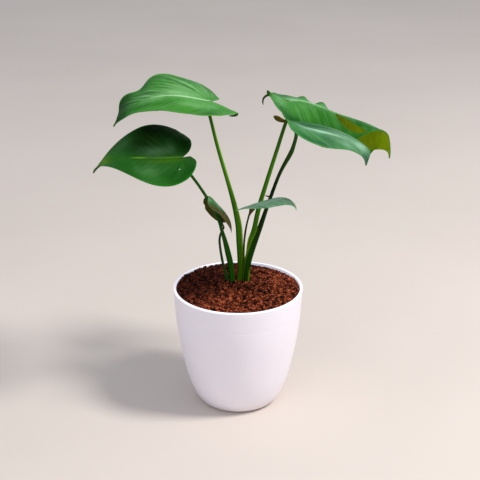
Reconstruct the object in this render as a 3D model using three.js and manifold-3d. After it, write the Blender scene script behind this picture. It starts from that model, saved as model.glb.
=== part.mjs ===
// A potted swiss cheese plant: six heart-shaped leaves on stalks from two shoots,
// rooted in the soil of a round plastic pot.
// Millimetres and degrees, +Z up. The origin is on the floor under the pot's centre.

import * as THREE from 'three';
import { mergeVertices } from 'three/addons/utils/BufferGeometryUtils.js';
import Module from 'manifold-3d';

const wasm = await Module();
wasm.setup();

// Pot
const POT_HEIGHT = 124;
const RIM_RADIUS = 65;
const RIM_ROUND = 0.7;
const WALL = 2;
const FOOT_INNER_RADIUS = 25;
const FOOT_OUTER_RADIUS = 33.5;
const RECESS_HEIGHT = 2.5;
const FLOOR_THICKNESS = 2.5;
// A pad under the middle of the pot stands on the floor with the foot ring.
const PAD_RADIUS = 8;
const PAD_TAPER = 1;
const PAD_SIDES = 15;
const DRAIN_HOLES = 6;
const DRAIN_RADIUS = 2.5;
const DRAIN_CIRCLE = 16;
const POT_SIDES = 48;
const DRAIN_SIDES = 12;
// Heights of the rings of the pot's wall, and how far the inside floor stays rounded.
const OUTSIDE_RINGS = [1.5, 3.2, 5.5, 9, 15, 23, 34, 50, 72, 98];
const INSIDE_RINGS = [98, 72, 50, 34, 23, 15, 9.5, 7];
const INSIDE_ROUND = 3;
const OUTLINE_SAMPLES = 400;
// Outer radius of the pot at shares of its height, from the floor to the rim.
const POT_OUTLINE = [
  [0, FOOT_OUTER_RADIUS],
  [0.012, 38.2],
  [0.04, 41.6],
  [0.12, 46.8],
  [0.25, 52.2],
  [0.45, 57.6],
  [0.7, 62.4],
  [1, RIM_RADIUS],
];

// Soil
const GAP = 0.3;
const SOIL_EDGE_HEIGHT = 120.5;
const MOUND_HEIGHT = 3;
const MOUND_RADIUS = 34;
const MOUND_CENTRE_Y = 12;
const SOIL_RINGS = 13;
const SOIL_SECTORS = 44;
const SOIL_SEED = 7;
const LUMPS = 90;
const LUMP_HEIGHT = [0.5, 1.7];
const LUMP_RADIUS = [3, 8];
const LUMP_MARGIN = 5;
// Heights of the rings of the soil's side, all clear of the wall by the gap and a little more.
const SOIL_SIDE_RINGS = [95, 66, 40, 22, 13, 8.3];
const SOIL_TOP_SPARE = 0.2;
const SOIL_SIDE_SPARE = 0.5;
const SOIL_FLOOR_SPARE = 4;

// Leaves
const LEAF_THICKNESS = 0.8;
const RIB_BUNCHING = 1.35;
const LOBE_TURN = 0.3;
const LOBE_REACH = 0.2;
const RIB_HALF_WIDTH = 2.5;
const NARROW_WIDTH = 5;
const CROSS_STEPS = 10;
const SPINE_STEPS = 80;
const SPINE_START = -0.35;
const SPINE_END = 1.05;

// Outline of one half of a leaf from the stalk round the lobe to the tip:
// along the midrib in shares of its length, across it in shares of the half width.
const HEART = [
  [0, 0], [-0.06, 0.035], [-0.14, 0.13], [-0.205, 0.31], [-0.215, 0.52],
  [-0.15, 0.75], [-0.01, 0.93], [0.17, 1], [0.37, 0.93], [0.56, 0.72],
  [0.73, 0.44], [0.87, 0.185], [0.95, 0.055], [1, 0],
];

// Openings in a half by their two edges, from one shared end to the other, as millimetres
// along the midrib and out from it.
const SPLIT = {
  half: 'right',
  inner: [[46, 1.4], [50, 1.5], [55, 1.9], [60.5, 3], [66, 4.8], [72, 6.7], [79, 8.9], [87, 11.8]],
  outer: [[46, 1.4], [50, 4], [54, 7.5], [59, 10.2], [65, 13], [72, 14.5], [80, 15], [87, 11.8]],
};
const PINHOLE = {
  half: 'left',
  inner: [[2.4, 18.2], [2.6, 17.6], [3.2, 17.4], [3.8, 17.6], [4, 18.2]],
  outer: [[2.4, 18.2], [2.6, 18.8], [3.2, 19], [3.8, 18.8], [4, 18.2]],
};
const CUTTER_DEPTH = 2.5;
const STEP = 0.01;

// Each leaf: the midrib starts at base and runs length. head, pitch and roll turn it.
// fold and curl bend a half across the midrib. Triples are at the base, middle and tip,
// pitch also at the thirds. The left half lies to the left of someone walking to the tip.
// droop turns the midrib down: from a share of its length, over a share, by so many degrees.
// A bump raises a half: where along, how far to each side, where across, how many millimetres.
// broad widens a half: where along, how far to each side, by what share.
const NO_DROOP = [1, 1, 0];
const NO_BROAD = [1, 1, 0];
const LEAVES = {
  leaf_1: {
    length: 104.4, base: [-27.2, 10.2, 313.5], lobePitch: 10.9,
    head: [189.3, 180.3, 194.8], pitch: [12.8, 2.1, -23.6, -27.6], roll: [-6, -15.8, 7.6],
    droop: [0.73, 0.16, 23.94],
    left: {
      width: 39.9, lobe: 1.07, fold: [-17.6, -20.2, -18.8], curl: [36.1, 65.8, 84],
      broad: [0.85, 0.1, 0.37],
    },
    right: {
      width: 65.4, lobe: 0.64, fold: [7.4, -2, -8.6], curl: [-30.3, -12, 99.6],
      wave: [0.89, 2.1, 0.19], broad: [0.85, 0.1, 0.54],
      bumps: [[0.66, 0.08, 0.73, -5.6], [-0.14, 0.12, 0.5, -2.66]],
    },
    rows: 28, columns: 5, rib: 1.5,
  },
  leaf_2: {
    length: 90, base: [-54.5, -14, 265], lobePitch: -25,
    head: [189, 183, 165], pitch: [-2, 3, -10, -60], roll: [-35, -44, -11],
    left: { width: 38, lobe: 0.64, fold: [19, 9, 31], curl: [-8, 44, 96] },
    right: { width: 45, lobe: 0.78, fold: [2, -8, -8], curl: [-31, -16, -8] },
    rows: 24, columns: 5, rib: 1.5,
    holes: [PINHOLE],
  },
  leaf_3: {
    length: 130.3, base: [52.2, 35.7, 306.9], lobePitch: -41.6,
    head: [8.2, -3.4, -104.2], pitch: [4.4, -23.7, -16, -78.2], roll: [-5.7, -12.3, -100.9],
    droop: [0.75, 0.14, 13.3],
    left: {
      width: 56.7, lobe: 0.6, fold: [10.8, -30.2, -34.8], curl: [-44.7, -61, -42.3],
      wave: [3, 3.85, 0.14], broad: [0.82, 0.12, 0.25],
      bumps: [[0.11, 0.05, 0.36, 4.84], [0.27, 0.05, 0.18, 5.96], [0.19, 0.05, 0.29, -1.99]],
    },
    right: {
      width: 33.8, lobe: 0.98, fold: [-25.9, -51.2, 11.8], curl: [-33.6, -57.9, -27.7],
      bumps: [[-0.12, 0.12, 0.25, 4]], broad: [0.8, 0.12, -0.16],
    },
    rows: 32, columns: 7, rib: 1.5,
    holes: [SPLIT],
  },
  leaf_4: {
    length: 81.4, base: [55.6, -24.2, 300.3], lobePitch: 25.4,
    head: [-17.2, -0.1, -51.8], pitch: [-20.3, -14.8, -31.2, -57.8], roll: [-16.8, 3.6, 4.3],
    droop: [0.83, 0.1, 25.67],
    left: {
      width: 36.8, lobe: 0.86, fold: [11.1, 6.3, 6.6], curl: [-16.2, -36.6, -98.7],
      broad: [0.84, 0.08, 0.95],
    },
    right: { width: 26.6, lobe: 0.4, fold: [5.4, -8.1, 13.6], curl: [-35.8, -10.9, 19.4] },
    rows: 24, columns: 5, rib: 1.5,
  },
  leaf_5: {
    length: 40, base: [-24.3, 1, 217], lobePitch: 8,
    head: [-27, -48, -43], pitch: [-42, -34, -53, -98], roll: [5, 20, 10],
    left: { width: 28, lobe: 1, fold: [-47, -60, -55], curl: [-45, -60, -30] },
    right: { width: 8, lobe: 0.5, fold: [3, -25, -15], curl: [-63, -100, -50] },
    rows: 18, columns: 4, rib: 0.9,
  },
  leaf_6: {
    length: 48.5, base: [14, -14, 214.5], lobePitch: -5,
    head: [6, -8, -7], pitch: [15, 18, -6, -83], roll: [-8, 3, 9],
    left: { width: 15, lobe: 1.5, fold: [-3, -4, -4], curl: [-1, -15, -22] },
    right: { width: 14, lobe: 0.6, fold: [5, -5, -13], curl: [2, -9, -22] },
    rows: 16, columns: 3, rib: 0.9,
  },
};

// Stalks: points of the route with the half width across the view and the half depth.
// The last points are worked out from the leaf: a knee that far below its base, if any,
// and a seat under the midrib that stays clear of it.
const STALK_FOOT = 115;
const STALK_ROOM = 1.1 * GAP;
const HOLE_TOP = POT_HEIGHT + 25;
const STALK_SIDES = 8;
const STALK_STEPS_PER_POINT = 2;
const STALK_END_TAPER = 0.8;
const KNEE_BACK = 0.5;
const SEAT_AHEAD = 1.5;
const STALKS = {
  stalk_a: {
    leaf: 'leaf_1', tip: 1.6, rise: 6, clear: 0.5,
    route: [
      [1.5, 14, STALK_FOOT, 2.1, 2.1], [2, 14, 144.5, 2.6, 2.3], [1.5, 14, 167.5, 3.3, 2.4],
      [0.5, 13.5, 185, 3.2, 2.3], [-4, 13, 208, 2.5, 2.1], [-10.5, 12.5, 233, 2, 1.9],
      [-19.5, 12, 266, 1.8, 1.8], [-26, 11, 294, 1.6, 1.6],
    ],
  },
  stalk_b: {
    leaf: 'leaf_3', tip: 1.5, rise: 6, clear: 1,
    route: [
      [9, 18, STALK_FOOT, 2, 2], [9.5, 18, 143, 2.2, 2], [12, 17.5, 166, 2.5, 2.1],
      [16, 18, 178, 2.5, 2.1], [20.5, 19, 200, 2.4, 2.1], [29, 20.5, 230, 2.1, 1.9],
      [38, 24, 259, 1.9, 1.8], [47, 29, 287, 1.7, 1.7],
    ],
  },
  stalk_c: {
    leaf: 'leaf_4', tip: 1.5, rise: 6, clear: 0.2,
    route: [
      [7.5, 12.5, STALK_FOOT, 2.2, 2.1], [10, 12.5, 145, 2.8, 2.2], [16.5, 12, 166.5, 3.2, 2.2],
      [21.5, 11, 182.5, 2.7, 2.1], [28, 8, 204, 2, 1.9], [38, 1, 237, 1.7, 1.7],
      [43, -4, 250, 1.7, 1.7], [49, -10.5, 263, 1.9, 1.9], [53, -15.5, 273.5, 1.7, 1.7],
    ],
  },
  stalk_d: {
    leaf: 'leaf_2', tip: 1.4, rise: 6, clear: 0.4,
    route: [
      [-6.5, 13, STALK_FOOT, 2.8, 2.3], [-8.2, 13, 141.5, 3, 2.3], [-10.8, 12, 158.5, 2.8, 2.2],
      [-13.2, 10.5, 169.5, 2.3, 2], [-15.8, 8.5, 180, 1.8, 1.7], [-19, 6, 192.5, 1.5, 1.5],
      [-24.5, 3, 207.5, 1.5, 1.5], [-29.5, 1, 217, 1.5, 1.5], [-38, -3, 232.5, 1.4, 1.4],
      [-45, -6.5, 244, 1.4, 1.4],
    ],
  },
  stalk_e: {
    leaf: 'leaf_5', tip: 0.9, rise: 0, clear: 1.3,
    route: [
      [-10.8, 16, STALK_FOOT, 1.4, 1.4], [-13, 16.5, 130.5, 1.4, 1.4], [-16, 16.5, 145.5, 1.3, 1.3],
      [-18.6, 16, 165.5, 1.2, 1.2], [-17.8, 14, 174, 1.1, 1.1], [-15, 11.5, 180.5, 1, 1],
      [-13.2, 8.2, 184.5, 0.9, 0.9], [-14.2, 4.2, 189.5, 0.9, 0.9], [-16.2, 3.4, 195.5, 0.9, 0.9],
      [-19, 2.3, 201, 0.9, 0.9], [-21, 1.5, 206, 0.9, 0.9],
    ],
  },
  stalk_f: {
    leaf: 'leaf_6', tip: 1.1, rise: 0, clear: 0.7,
    route: [
      [4.5, 9, STALK_FOOT, 1.1, 1.1], [5.5, 8.8, 146, 1.1, 1.1], [6, 8, 167, 1, 1],
      [7.5, 3.5, 183, 1, 1], [9.5, -4, 196.5, 0.9, 0.9], [12, -10.5, 207.5, 1, 1],
    ],
  },
};

// Crowns and roots inside the soil. A root leaves its crown, drops and spreads.
const CROWN_TOP = STALK_FOOT - 1.6 * GAP;
const CROWN_HEIGHT = 13;
const CROWN_ROOM = 1.4 * GAP;
const CROWN_SIDES = 16;
// Outline of a crown: height over its bottom and share of its radius.
const CROWN_OUTLINE = [[0, 0.5], [4, 0.9], [9, 1], [13, 0.92]];
const ROOT_RADIUS = 1.5;
const ROOT_END_RADIUS = 0.9;
const ROOT_SIDES = 5;
const ROOT_STEPS = 6;
const ROOT_START = 0.4;
const ROOT_START_DROP = 8;
const ROOT_BEND = 0.5;
const ROOT_DROP_POWER = 1.6;
const SHOOTS = {
  crown_right: { centre: [5.8, 13.6], radius: 7.2, roots: 6, reach: 34, depth: 80, turn: 0, way: 1 },
  crown_left: { centre: [-8.8, 14.2], radius: 5.2, roots: 5, reach: 30, depth: 66, turn: 180, way: -1 },
};

// Materials
const finish = (colour, roughness) =>
  new THREE.MeshStandardMaterial({ color: colour, roughness, metalness: 0 });
const WHITE_PLASTIC = finish(0xe6e2ea, 0.45);
const SOIL_BROWN = finish(0x6b3f26, 0.95);
const ROOT_TAN = finish(0xb9a27c, 0.8);
const LEAF_GREENS = {
  leaf_1: finish(0x3f9a3f, 0.4),
  leaf_2: finish(0x14501f, 0.4),
  leaf_3: finish(0x3a8f45, 0.4),
  leaf_4: finish(0x4a9a62, 0.38),
  leaf_5: finish(0x3c6b34, 0.5),
  leaf_6: finish(0x4a8f66, 0.42),
};
const STALK_GREENS = {
  stalk_a: finish(0x3f7d1f, 0.45),
  stalk_b: finish(0x4f8a2a, 0.45),
  stalk_c: finish(0x1f5518, 0.45),
  stalk_d: finish(0x173c12, 0.45),
  stalk_e: finish(0x2c4a1a, 0.5),
  stalk_f: finish(0x2f4a1c, 0.5),
};

const radians = THREE.MathUtils.degToRad;

// Random numbers from a seed, the same in every run.
function seededRandom(seed) {
  let state = seed;
  return () => {
    state = (state * 1664525 + 1013904223) % 4294967296;
    return state / 4294967296;
  };
}

// A geometry with shared vertices and no collapsed triangles.
function welded(geometry) {
  geometry.deleteAttribute('normal');
  geometry.deleteAttribute('uv');
  const merged = mergeVertices(geometry, 1e-4);
  const index = merged.getIndex().array;
  const kept = [];
  for (let i = 0; i < index.length; i += 3) {
    const [a, b, c] = [index[i], index[i + 1], index[i + 2]];
    if (a !== b && b !== c && c !== a) {
      kept.push(a, b, c);
    }
  }
  merged.setIndex(kept);
  return merged;
}

function fromTriangles(points, faces) {
  const geometry = new THREE.BufferGeometry();
  const positions = points.flatMap((p) => [p.x, p.y, p.z]);
  geometry.setAttribute('position', new THREE.Float32BufferAttribute(positions, 3));
  geometry.setIndex(faces.flat());
  return geometry;
}

function toManifold(geometry) {
  return new wasm.Manifold(new wasm.Mesh({
    numProp: 3,
    vertProperties: Float32Array.from(geometry.getAttribute('position').array),
    triVerts: Uint32Array.from(geometry.getIndex().array),
  }));
}

function toGeometry(solid) {
  const mesh = solid.getMesh();
  const geometry = new THREE.BufferGeometry();
  geometry.setAttribute('position', new THREE.Float32BufferAttribute(mesh.vertProperties, 3));
  geometry.setIndex(Array.from(mesh.triVerts));
  return geometry;
}

// Smooth curve through points whose parameters run by chord length.
function chordSpline(points) {
  const knots = [0];
  for (let i = 1; i < points.length; i += 1) {
    const [a, b] = [points[i - 1], points[i]];
    knots.push(knots[i - 1] + Math.hypot(...a.map((v, k) => b[k] - v)));
  }
  const total = knots[knots.length - 1];
  const at = knots.map((k) => k / total);
  const last = points.length - 1;
  return (share) => {
    let i = 0;
    while (i < last - 1 && at[i + 1] < share) {
      i += 1;
    }
    const h = at[i + 1] - at[i];
    const t = (share - at[i]) / h;
    return points[i].map((p1, k) => {
      const p2 = points[i + 1][k];
      const m1 = i > 0 ? ((p2 - points[i - 1][k]) / (at[i + 1] - at[i - 1])) * h : p2 - p1;
      const m2 = i + 2 <= last ? ((points[i + 2][k] - p1) / (at[i + 2] - at[i])) * h : p2 - p1;
      return (2 * t ** 3 - 3 * t ** 2 + 1) * p1 + (t ** 3 - 2 * t ** 2 + t) * m1
        + (-2 * t ** 3 + 3 * t ** 2) * p2 + (t ** 3 - t ** 2) * m2;
    });
  };
}

// A value given at the base, middle and tip, read at a share x of the length.
function along([base, middle, tip], x) {
  return base + (-3 * base + 4 * middle - tip) * x + (2 * base - 4 * middle + 2 * tip) * x * x;
}

// Pitch of the midrib in degrees, with the lobes' part behind the base.
function pitchAt(leaf, x) {
  const [a, b, c, d] = leaf.pitch;
  const u = Math.max(x, 0) * 3;
  const curve = -(a * (u - 1) * (u - 2) * (u - 3)) / 6 + (b * u * (u - 2) * (u - 3)) / 2
    - (c * u * (u - 1) * (u - 3)) / 2 + (d * u * (u - 1) * (u - 2)) / 6;
  const [start, run, turn] = leaf.droop ?? NO_DROOP;
  const droop = turn * THREE.MathUtils.smoothstep(x, start, start + run);
  return curve - (leaf.lobePitch * Math.min(x, 0)) / LOBE_REACH - droop;
}

function headAt(leaf, x) {
  return along(leaf.head, Math.max(x, 0) + LOBE_TURN * Math.min(x, 0));
}

// Directions of the midrib at a share x: along it, to its left and up from the leaf.
function frameAt(leaf, x) {
  const head = radians(headAt(leaf, x));
  const pitch = radians(pitchAt(leaf, x));
  const roll = radians(along(leaf.roll, x));
  const forward = new THREE.Vector3(
    Math.cos(pitch) * Math.cos(head), Math.cos(pitch) * Math.sin(head), Math.sin(pitch));
  const level = new THREE.Vector3(-Math.sin(head), Math.cos(head), 0);
  const upright = forward.clone().cross(level);
  const left = level.clone().multiplyScalar(Math.cos(roll)).addScaledVector(upright, Math.sin(roll));
  const up = upright.clone().multiplyScalar(Math.cos(roll)).addScaledVector(level, -Math.sin(roll));
  return { forward, left, up };
}

// The midrib as a function of x, found by walking along it.
function midrib(leaf) {
  const step = (SPINE_END - SPINE_START) / SPINE_STEPS;
  const walked = [new THREE.Vector3()];
  for (let i = 0; i < SPINE_STEPS; i += 1) {
    const { forward } = frameAt(leaf, SPINE_START + (i + 0.5) * step);
    walked.push(walked[i].clone().addScaledVector(forward, step * leaf.length));
  }
  const at = (x) => {
    const place = Math.min(SPINE_STEPS - 1e-9, Math.max(0, (x - SPINE_START) / step));
    const i = Math.floor(place);
    return walked[i].clone().lerp(walked[i + 1], place - i);
  };
  const shift = new THREE.Vector3(...leaf.base).sub(at(0));
  return (x) => at(x).add(shift);
}

// Point of one half: x along the midrib in shares of the length, q across in shares of the width.
function bladePoint(leaf, rib, half, side, x, q) {
  const { left, up } = frameAt(leaf, x);
  const bendX = Math.min(1, Math.max(-0.1, x));
  const fold = radians(along(half.fold, bendX));
  const curl = radians(along(half.curl, bendX));
  let out = 0;
  let rise = 0;
  for (let i = 0; i < CROSS_STEPS; i += 1) {
    const angle = fold + (curl * q * (i + 0.5)) / CROSS_STEPS;
    out += (Math.cos(angle) * q * half.width) / CROSS_STEPS;
    rise += (Math.sin(angle) * q * half.width) / CROSS_STEPS;
  }
  if (half.wave) {
    const [height, count, phase] = half.wave;
    rise += height * Math.sin(2 * Math.PI * (count * x + phase)) * q * q;
  }
  for (const [middle, spread, crest, height] of half.bumps ?? []) {
    const reach = (q / crest) ** 2;
    rise += height * Math.exp(-(((x - middle) / spread) ** 2)) * reach * Math.exp(1 - reach);
  }
  return rib(x).addScaledVector(left, side * out).addScaledVector(up, rise);
}

// The block that cuts a hole: strips across the opening, moved off both faces of the blade.
function holeCutter(leaf, { half: name, inner, outer }) {
  const half = leaf[name];
  const side = name === 'left' ? 1 : -1;
  const rib = midrib(leaf);
  const lift = ([alongMm, outMm], distance) => {
    const [x, q] = [alongMm / leaf.length, outMm / half.width];
    const spot = bladePoint(leaf, rib, half, side, x, q);
    const ahead = bladePoint(leaf, rib, half, side, x + STEP, q).sub(spot);
    const out = bladePoint(leaf, rib, half, side, x, q + STEP).sub(spot);
    return spot.addScaledVector(ahead.cross(out).normalize(), side * distance);
  };
  const upper = inner.map((spot, i) => [lift(spot, CUTTER_DEPTH), lift(outer[i], CUTTER_DEPTH)]);
  const lower = inner.map((spot, i) => [lift(spot, -CUTTER_DEPTH), lift(outer[i], -CUTTER_DEPTH)]);
  const points = [...upper, ...lower].flat();
  const count = 2 * inner.length;
  const faces = [];
  const addQuad = (a, b, c, d) => faces.push([a, b, c], [a, c, d]);
  for (let i = 0; i + 1 < inner.length; i += 1) {
    const [a, b, c, d] = [2 * i, 2 * i + 1, 2 * i + 3, 2 * i + 2];
    addQuad(d, c, b, a);
    addQuad(a + count, b + count, c + count, d + count);
    addQuad(a, a + count, d + count, d);
    addQuad(c, c + count, b + count, b);
  }
  if (side < 0) {
    faces.forEach((face) => face.reverse());
  }
  return toManifold(welded(fromTriangles(points, faces)));
}

// Margin of one half at a share of its outline from the base to the tip.
function marginAt(half, share) {
  const [heartX, heartQ] = chordSpline(HEART)(share);
  const x = heartX < 0 ? heartX * half.lobe : heartX;
  const [middle, spread, gain] = half.broad ?? NO_BROAD;
  return [x, heartQ * (1 + gain * Math.exp(-(((x - middle) / spread) ** 2)))];
}

// Grid of one half, rows along the margin and columns from the midrib out.
function halfGrid(leaf, half, side) {
  const rib = midrib(leaf);
  const grid = [];
  for (let r = 0; r <= leaf.rows; r += 1) {
    const share = r / leaf.rows;
    const [edgeX, edgeQ] = marginAt(half, share);
    const ribX = share ** RIB_BUNCHING;
    const row = [];
    for (let c = 0; c <= leaf.columns; c += 1) {
      const t = c / leaf.columns;
      const x = ribX * (1 - t) + edgeX * t;
      const q = edgeQ * t;
      row.push({ x, across: q * half.width, point: bladePoint(leaf, rib, half, side, x, q) });
    }
    grid.push(row);
  }
  return grid;
}

// A leaf as one closed thin solid: the same triangles on both faces, joined by a rim.
function leafGeometry(leaf) {
  const points = [];
  const index = new Map();
  const place = (point, distance, up, spread) => {
    const key = [point.x, point.y, point.z].map((v) => v.toFixed(4)).join();
    if (!index.has(key)) {
      index.set(key, points.length);
      points.push({ point, distance, up, spread, normal: new THREE.Vector3() });
    }
    return index.get(key);
  };
  const faces = [];
  const addFace = (a, b, c) => {
    if (a !== b && b !== c && c !== a) {
      faces.push([a, b, c]);
    }
  };
  const margins = {};
  for (const [name, side] of [['left', 1], ['right', -1]]) {
    const half = leaf[name];
    const grid = halfGrid(leaf, half, side);
    const ids = grid.map((row) => row.map(({ point, x, across }) => (
      place(point, across, frameAt(leaf, x).up, row[leaf.columns].across))));
    margins[name] = ids.map((row) => row[leaf.columns]);
    for (let r = 0; r < leaf.rows; r += 1) {
      for (let c = 0; c < leaf.columns; c += 1) {
        const [a, b, d, e] = [ids[r][c], ids[r + 1][c], ids[r + 1][c + 1], ids[r][c + 1]];
        const corners = side > 0 ? [[a, b, d], [a, d, e]] : [[a, d, b], [a, e, d]];
        corners.forEach((face) => addFace(...face));
      }
    }
  }
  for (const [a, b, c] of faces) {
    const [p, q, r] = [points[a].point, points[b].point, points[c].point];
    const normal = q.clone().sub(p).cross(r.clone().sub(p));
    [a, b, c].forEach((i) => points[i].normal.add(normal));
  }
  const top = [];
  const under = [];
  for (const { point, distance, up, spread, normal } of points) {
    const narrow = Math.max(0, 1 - spread / NARROW_WIDTH);
    normal.normalize().lerp(up, narrow).normalize();
    const ribShare = Math.max(0, 1 - distance / RIB_HALF_WIDTH);
    const below = LEAF_THICKNESS / 2 + (leaf.rib - LEAF_THICKNESS) * ribShare;
    top.push(point.clone().addScaledVector(normal, LEAF_THICKNESS / 2));
    under.push(point.clone().addScaledVector(normal, -below));
  }
  const count = points.length;
  const shell = faces.flatMap(([a, b, c]) => [[a, b, c], [a + count, c + count, b + count]]);
  for (const [name, flip] of [['left', false], ['right', true]]) {
    const line = margins[name];
    for (let i = 0; i + 1 < line.length; i += 1) {
      const [a, b] = flip ? [line[i + 1], line[i]] : [line[i], line[i + 1]];
      if (a !== b) {
        shell.push([a, b, b + count], [a, b + count, a + count]);
      }
    }
  }
  const whole = fromTriangles(top.concat(under), shell);
  if (!leaf.holes) {
    return whole;
  }
  const cut = (solid, hole) => solid.subtract(holeCutter(leaf, hole));
  return toGeometry(leaf.holes.reduce(cut, toManifold(whole)));
}

// A closed tube through stations of a centre and two half widths, with flat ends.
// The first width is measured across, square to both the route and the way back (+Y).
function tubeGeometry(stations, sides, grow = 0) {
  const centres = stations.map((s) => s.centre);
  const points = [];
  stations.forEach(({ centre, wide, deep }, i) => {
    const before = centres[Math.max(0, i - 1)];
    const after = centres[Math.min(centres.length - 1, i + 1)];
    const along3 = after.clone().sub(before).normalize();
    const across = new THREE.Vector3(0, 1, 0).cross(along3).normalize();
    const back = along3.clone().cross(across);
    for (let k = 0; k < sides; k += 1) {
      const angle = (2 * Math.PI * k) / sides;
      points.push(centre.clone()
        .addScaledVector(across, Math.cos(angle) * (wide + grow))
        .addScaledVector(back, Math.sin(angle) * (deep + grow)));
    }
  });
  const faces = [];
  const rings = stations.length;
  for (let i = 0; i + 1 < rings; i += 1) {
    for (let k = 0; k < sides; k += 1) {
      const [a, b] = [i * sides + k, i * sides + ((k + 1) % sides)];
      faces.push([a, b, b + sides], [a, b + sides, a + sides]);
    }
  }
  const first = points.push(centres[0].clone()) - 1;
  const last = points.push(centres[rings - 1].clone()) - 1;
  for (let k = 0; k < sides; k += 1) {
    const next = (k + 1) % sides;
    faces.push([first, next, k], [last, (rings - 1) * sides + k, (rings - 1) * sides + next]);
  }
  return fromTriangles(points, faces);
}

// Stations of a stalk, ending just under the base of its leaf.
function stalkStations({ leaf: leafName, tip, rise, clear, route }) {
  const leaf = LEAVES[leafName];
  const { forward, up } = frameAt(leaf, 0);
  const under = leaf.rib - LEAF_THICKNESS / 2 + GAP + clear;
  const spot = (down, ahead) => new THREE.Vector3(...leaf.base)
    .addScaledVector(up, -under - down).addScaledVector(forward, ahead).toArray();
  const knee = rise > 0 ? [[...spot(rise, -KNEE_BACK), tip, tip]] : [];
  const end = tip * STALK_END_TAPER;
  const full = [...route, ...knee, [...spot(0, SEAT_AHEAD), end, end]];
  const curve = chordSpline(full.map((p) => p.slice(0, 3)));
  const widths = chordSpline(full.map(([x, y, z, wide, deep]) => [x, y, z, wide, deep]));
  const steps = (full.length - 1) * STALK_STEPS_PER_POINT;
  return Array.from({ length: steps + 1 }, (unused, i) => {
    const share = i / steps;
    const [, , , wide, deep] = widths(share);
    return { centre: new THREE.Vector3(...curve(share)), wide, deep };
  });
}

// Outer radius of the pot at a height.
const potCurve = chordSpline(POT_OUTLINE.map(([share, radius]) => [share * POT_HEIGHT, radius]));
const potSamples = Array.from({ length: OUTLINE_SAMPLES + 1 }, (unused, i) => potCurve(i / OUTLINE_SAMPLES));
function potRadius(height) {
  const i = potSamples.findIndex(([z]) => z >= height);
  const [z0, r0] = potSamples[Math.max(0, i - 1)];
  const [z1, r1] = potSamples[i < 0 ? OUTLINE_SAMPLES : i];
  return z1 > z0 ? r0 + ((r1 - r0) * (height - z0)) / (z1 - z0) : r1;
}

function potGeometry() {
  const floorTop = RECESS_HEIGHT + FLOOR_THICKNESS;
  const profile = [
    [0, RECESS_HEIGHT],
    [FOOT_INNER_RADIUS, RECESS_HEIGHT],
    [FOOT_INNER_RADIUS + 1, 0],
    [FOOT_OUTER_RADIUS, 0],
    ...OUTSIDE_RINGS.map((z) => [potRadius(z), z]),
    [RIM_RADIUS, POT_HEIGHT - RIM_ROUND],
    [RIM_RADIUS - RIM_ROUND, POT_HEIGHT],
    [RIM_RADIUS - WALL + RIM_ROUND, POT_HEIGHT],
    [RIM_RADIUS - WALL, POT_HEIGHT - RIM_ROUND],
    ...INSIDE_RINGS.map((z) => [potRadius(z) - WALL, z]),
    [potRadius(floorTop) - WALL - INSIDE_ROUND, floorTop],
    [0, floorTop],
  ];
  const lathe = new THREE.LatheGeometry(profile.map(([r, z]) => new THREE.Vector2(r, z)), POT_SIDES);
  lathe.rotateX(Math.PI / 2);
  const padTop = RECESS_HEIGHT + FLOOR_THICKNESS / 2;
  const pad = wasm.Manifold.cylinder(padTop, PAD_RADIUS, PAD_RADIUS + PAD_TAPER, PAD_SIDES);
  let pot = toManifold(welded(lathe)).add(pad);
  for (let i = 0; i < DRAIN_HOLES; i += 1) {
    const angle = (2 * Math.PI * i) / DRAIN_HOLES;
    const drill = new THREE.CylinderGeometry(DRAIN_RADIUS, DRAIN_RADIUS, 4 * floorTop, DRAIN_SIDES);
    drill.rotateX(Math.PI / 2);
    drill.translate(DRAIN_CIRCLE * Math.cos(angle), DRAIN_CIRCLE * Math.sin(angle), 0);
    pot = pot.subtract(toManifold(welded(drill)));
  }
  return toGeometry(pot);
}

// Height of the soil's surface: a low mound round the stalks and seeded lumps.
function soilSurface() {
  const random = seededRandom(SOIL_SEED);
  const between = ([low, high]) => low + (high - low) * random();
  const limit = potRadius(SOIL_EDGE_HEIGHT) - WALL - LUMP_MARGIN;
  const lumps = Array.from({ length: LUMPS }, () => {
    const angle = 2 * Math.PI * random();
    const distance = limit * Math.sqrt(random());
    return {
      x: distance * Math.cos(angle), y: distance * Math.sin(angle),
      height: between(LUMP_HEIGHT), radius: between(LUMP_RADIUS),
    };
  });
  return (x, y) => {
    const mound = MOUND_HEIGHT * Math.exp(-(x ** 2 + (y - MOUND_CENTRE_Y) ** 2) / MOUND_RADIUS ** 2);
    const relief = lumps.reduce((sum, lump) => {
      const squared = (x - lump.x) ** 2 + (y - lump.y) ** 2;
      return sum + lump.height * Math.exp(-squared / lump.radius ** 2);
    }, 0);
    return SOIL_EDGE_HEIGHT + mound + relief;
  };
}

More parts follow.
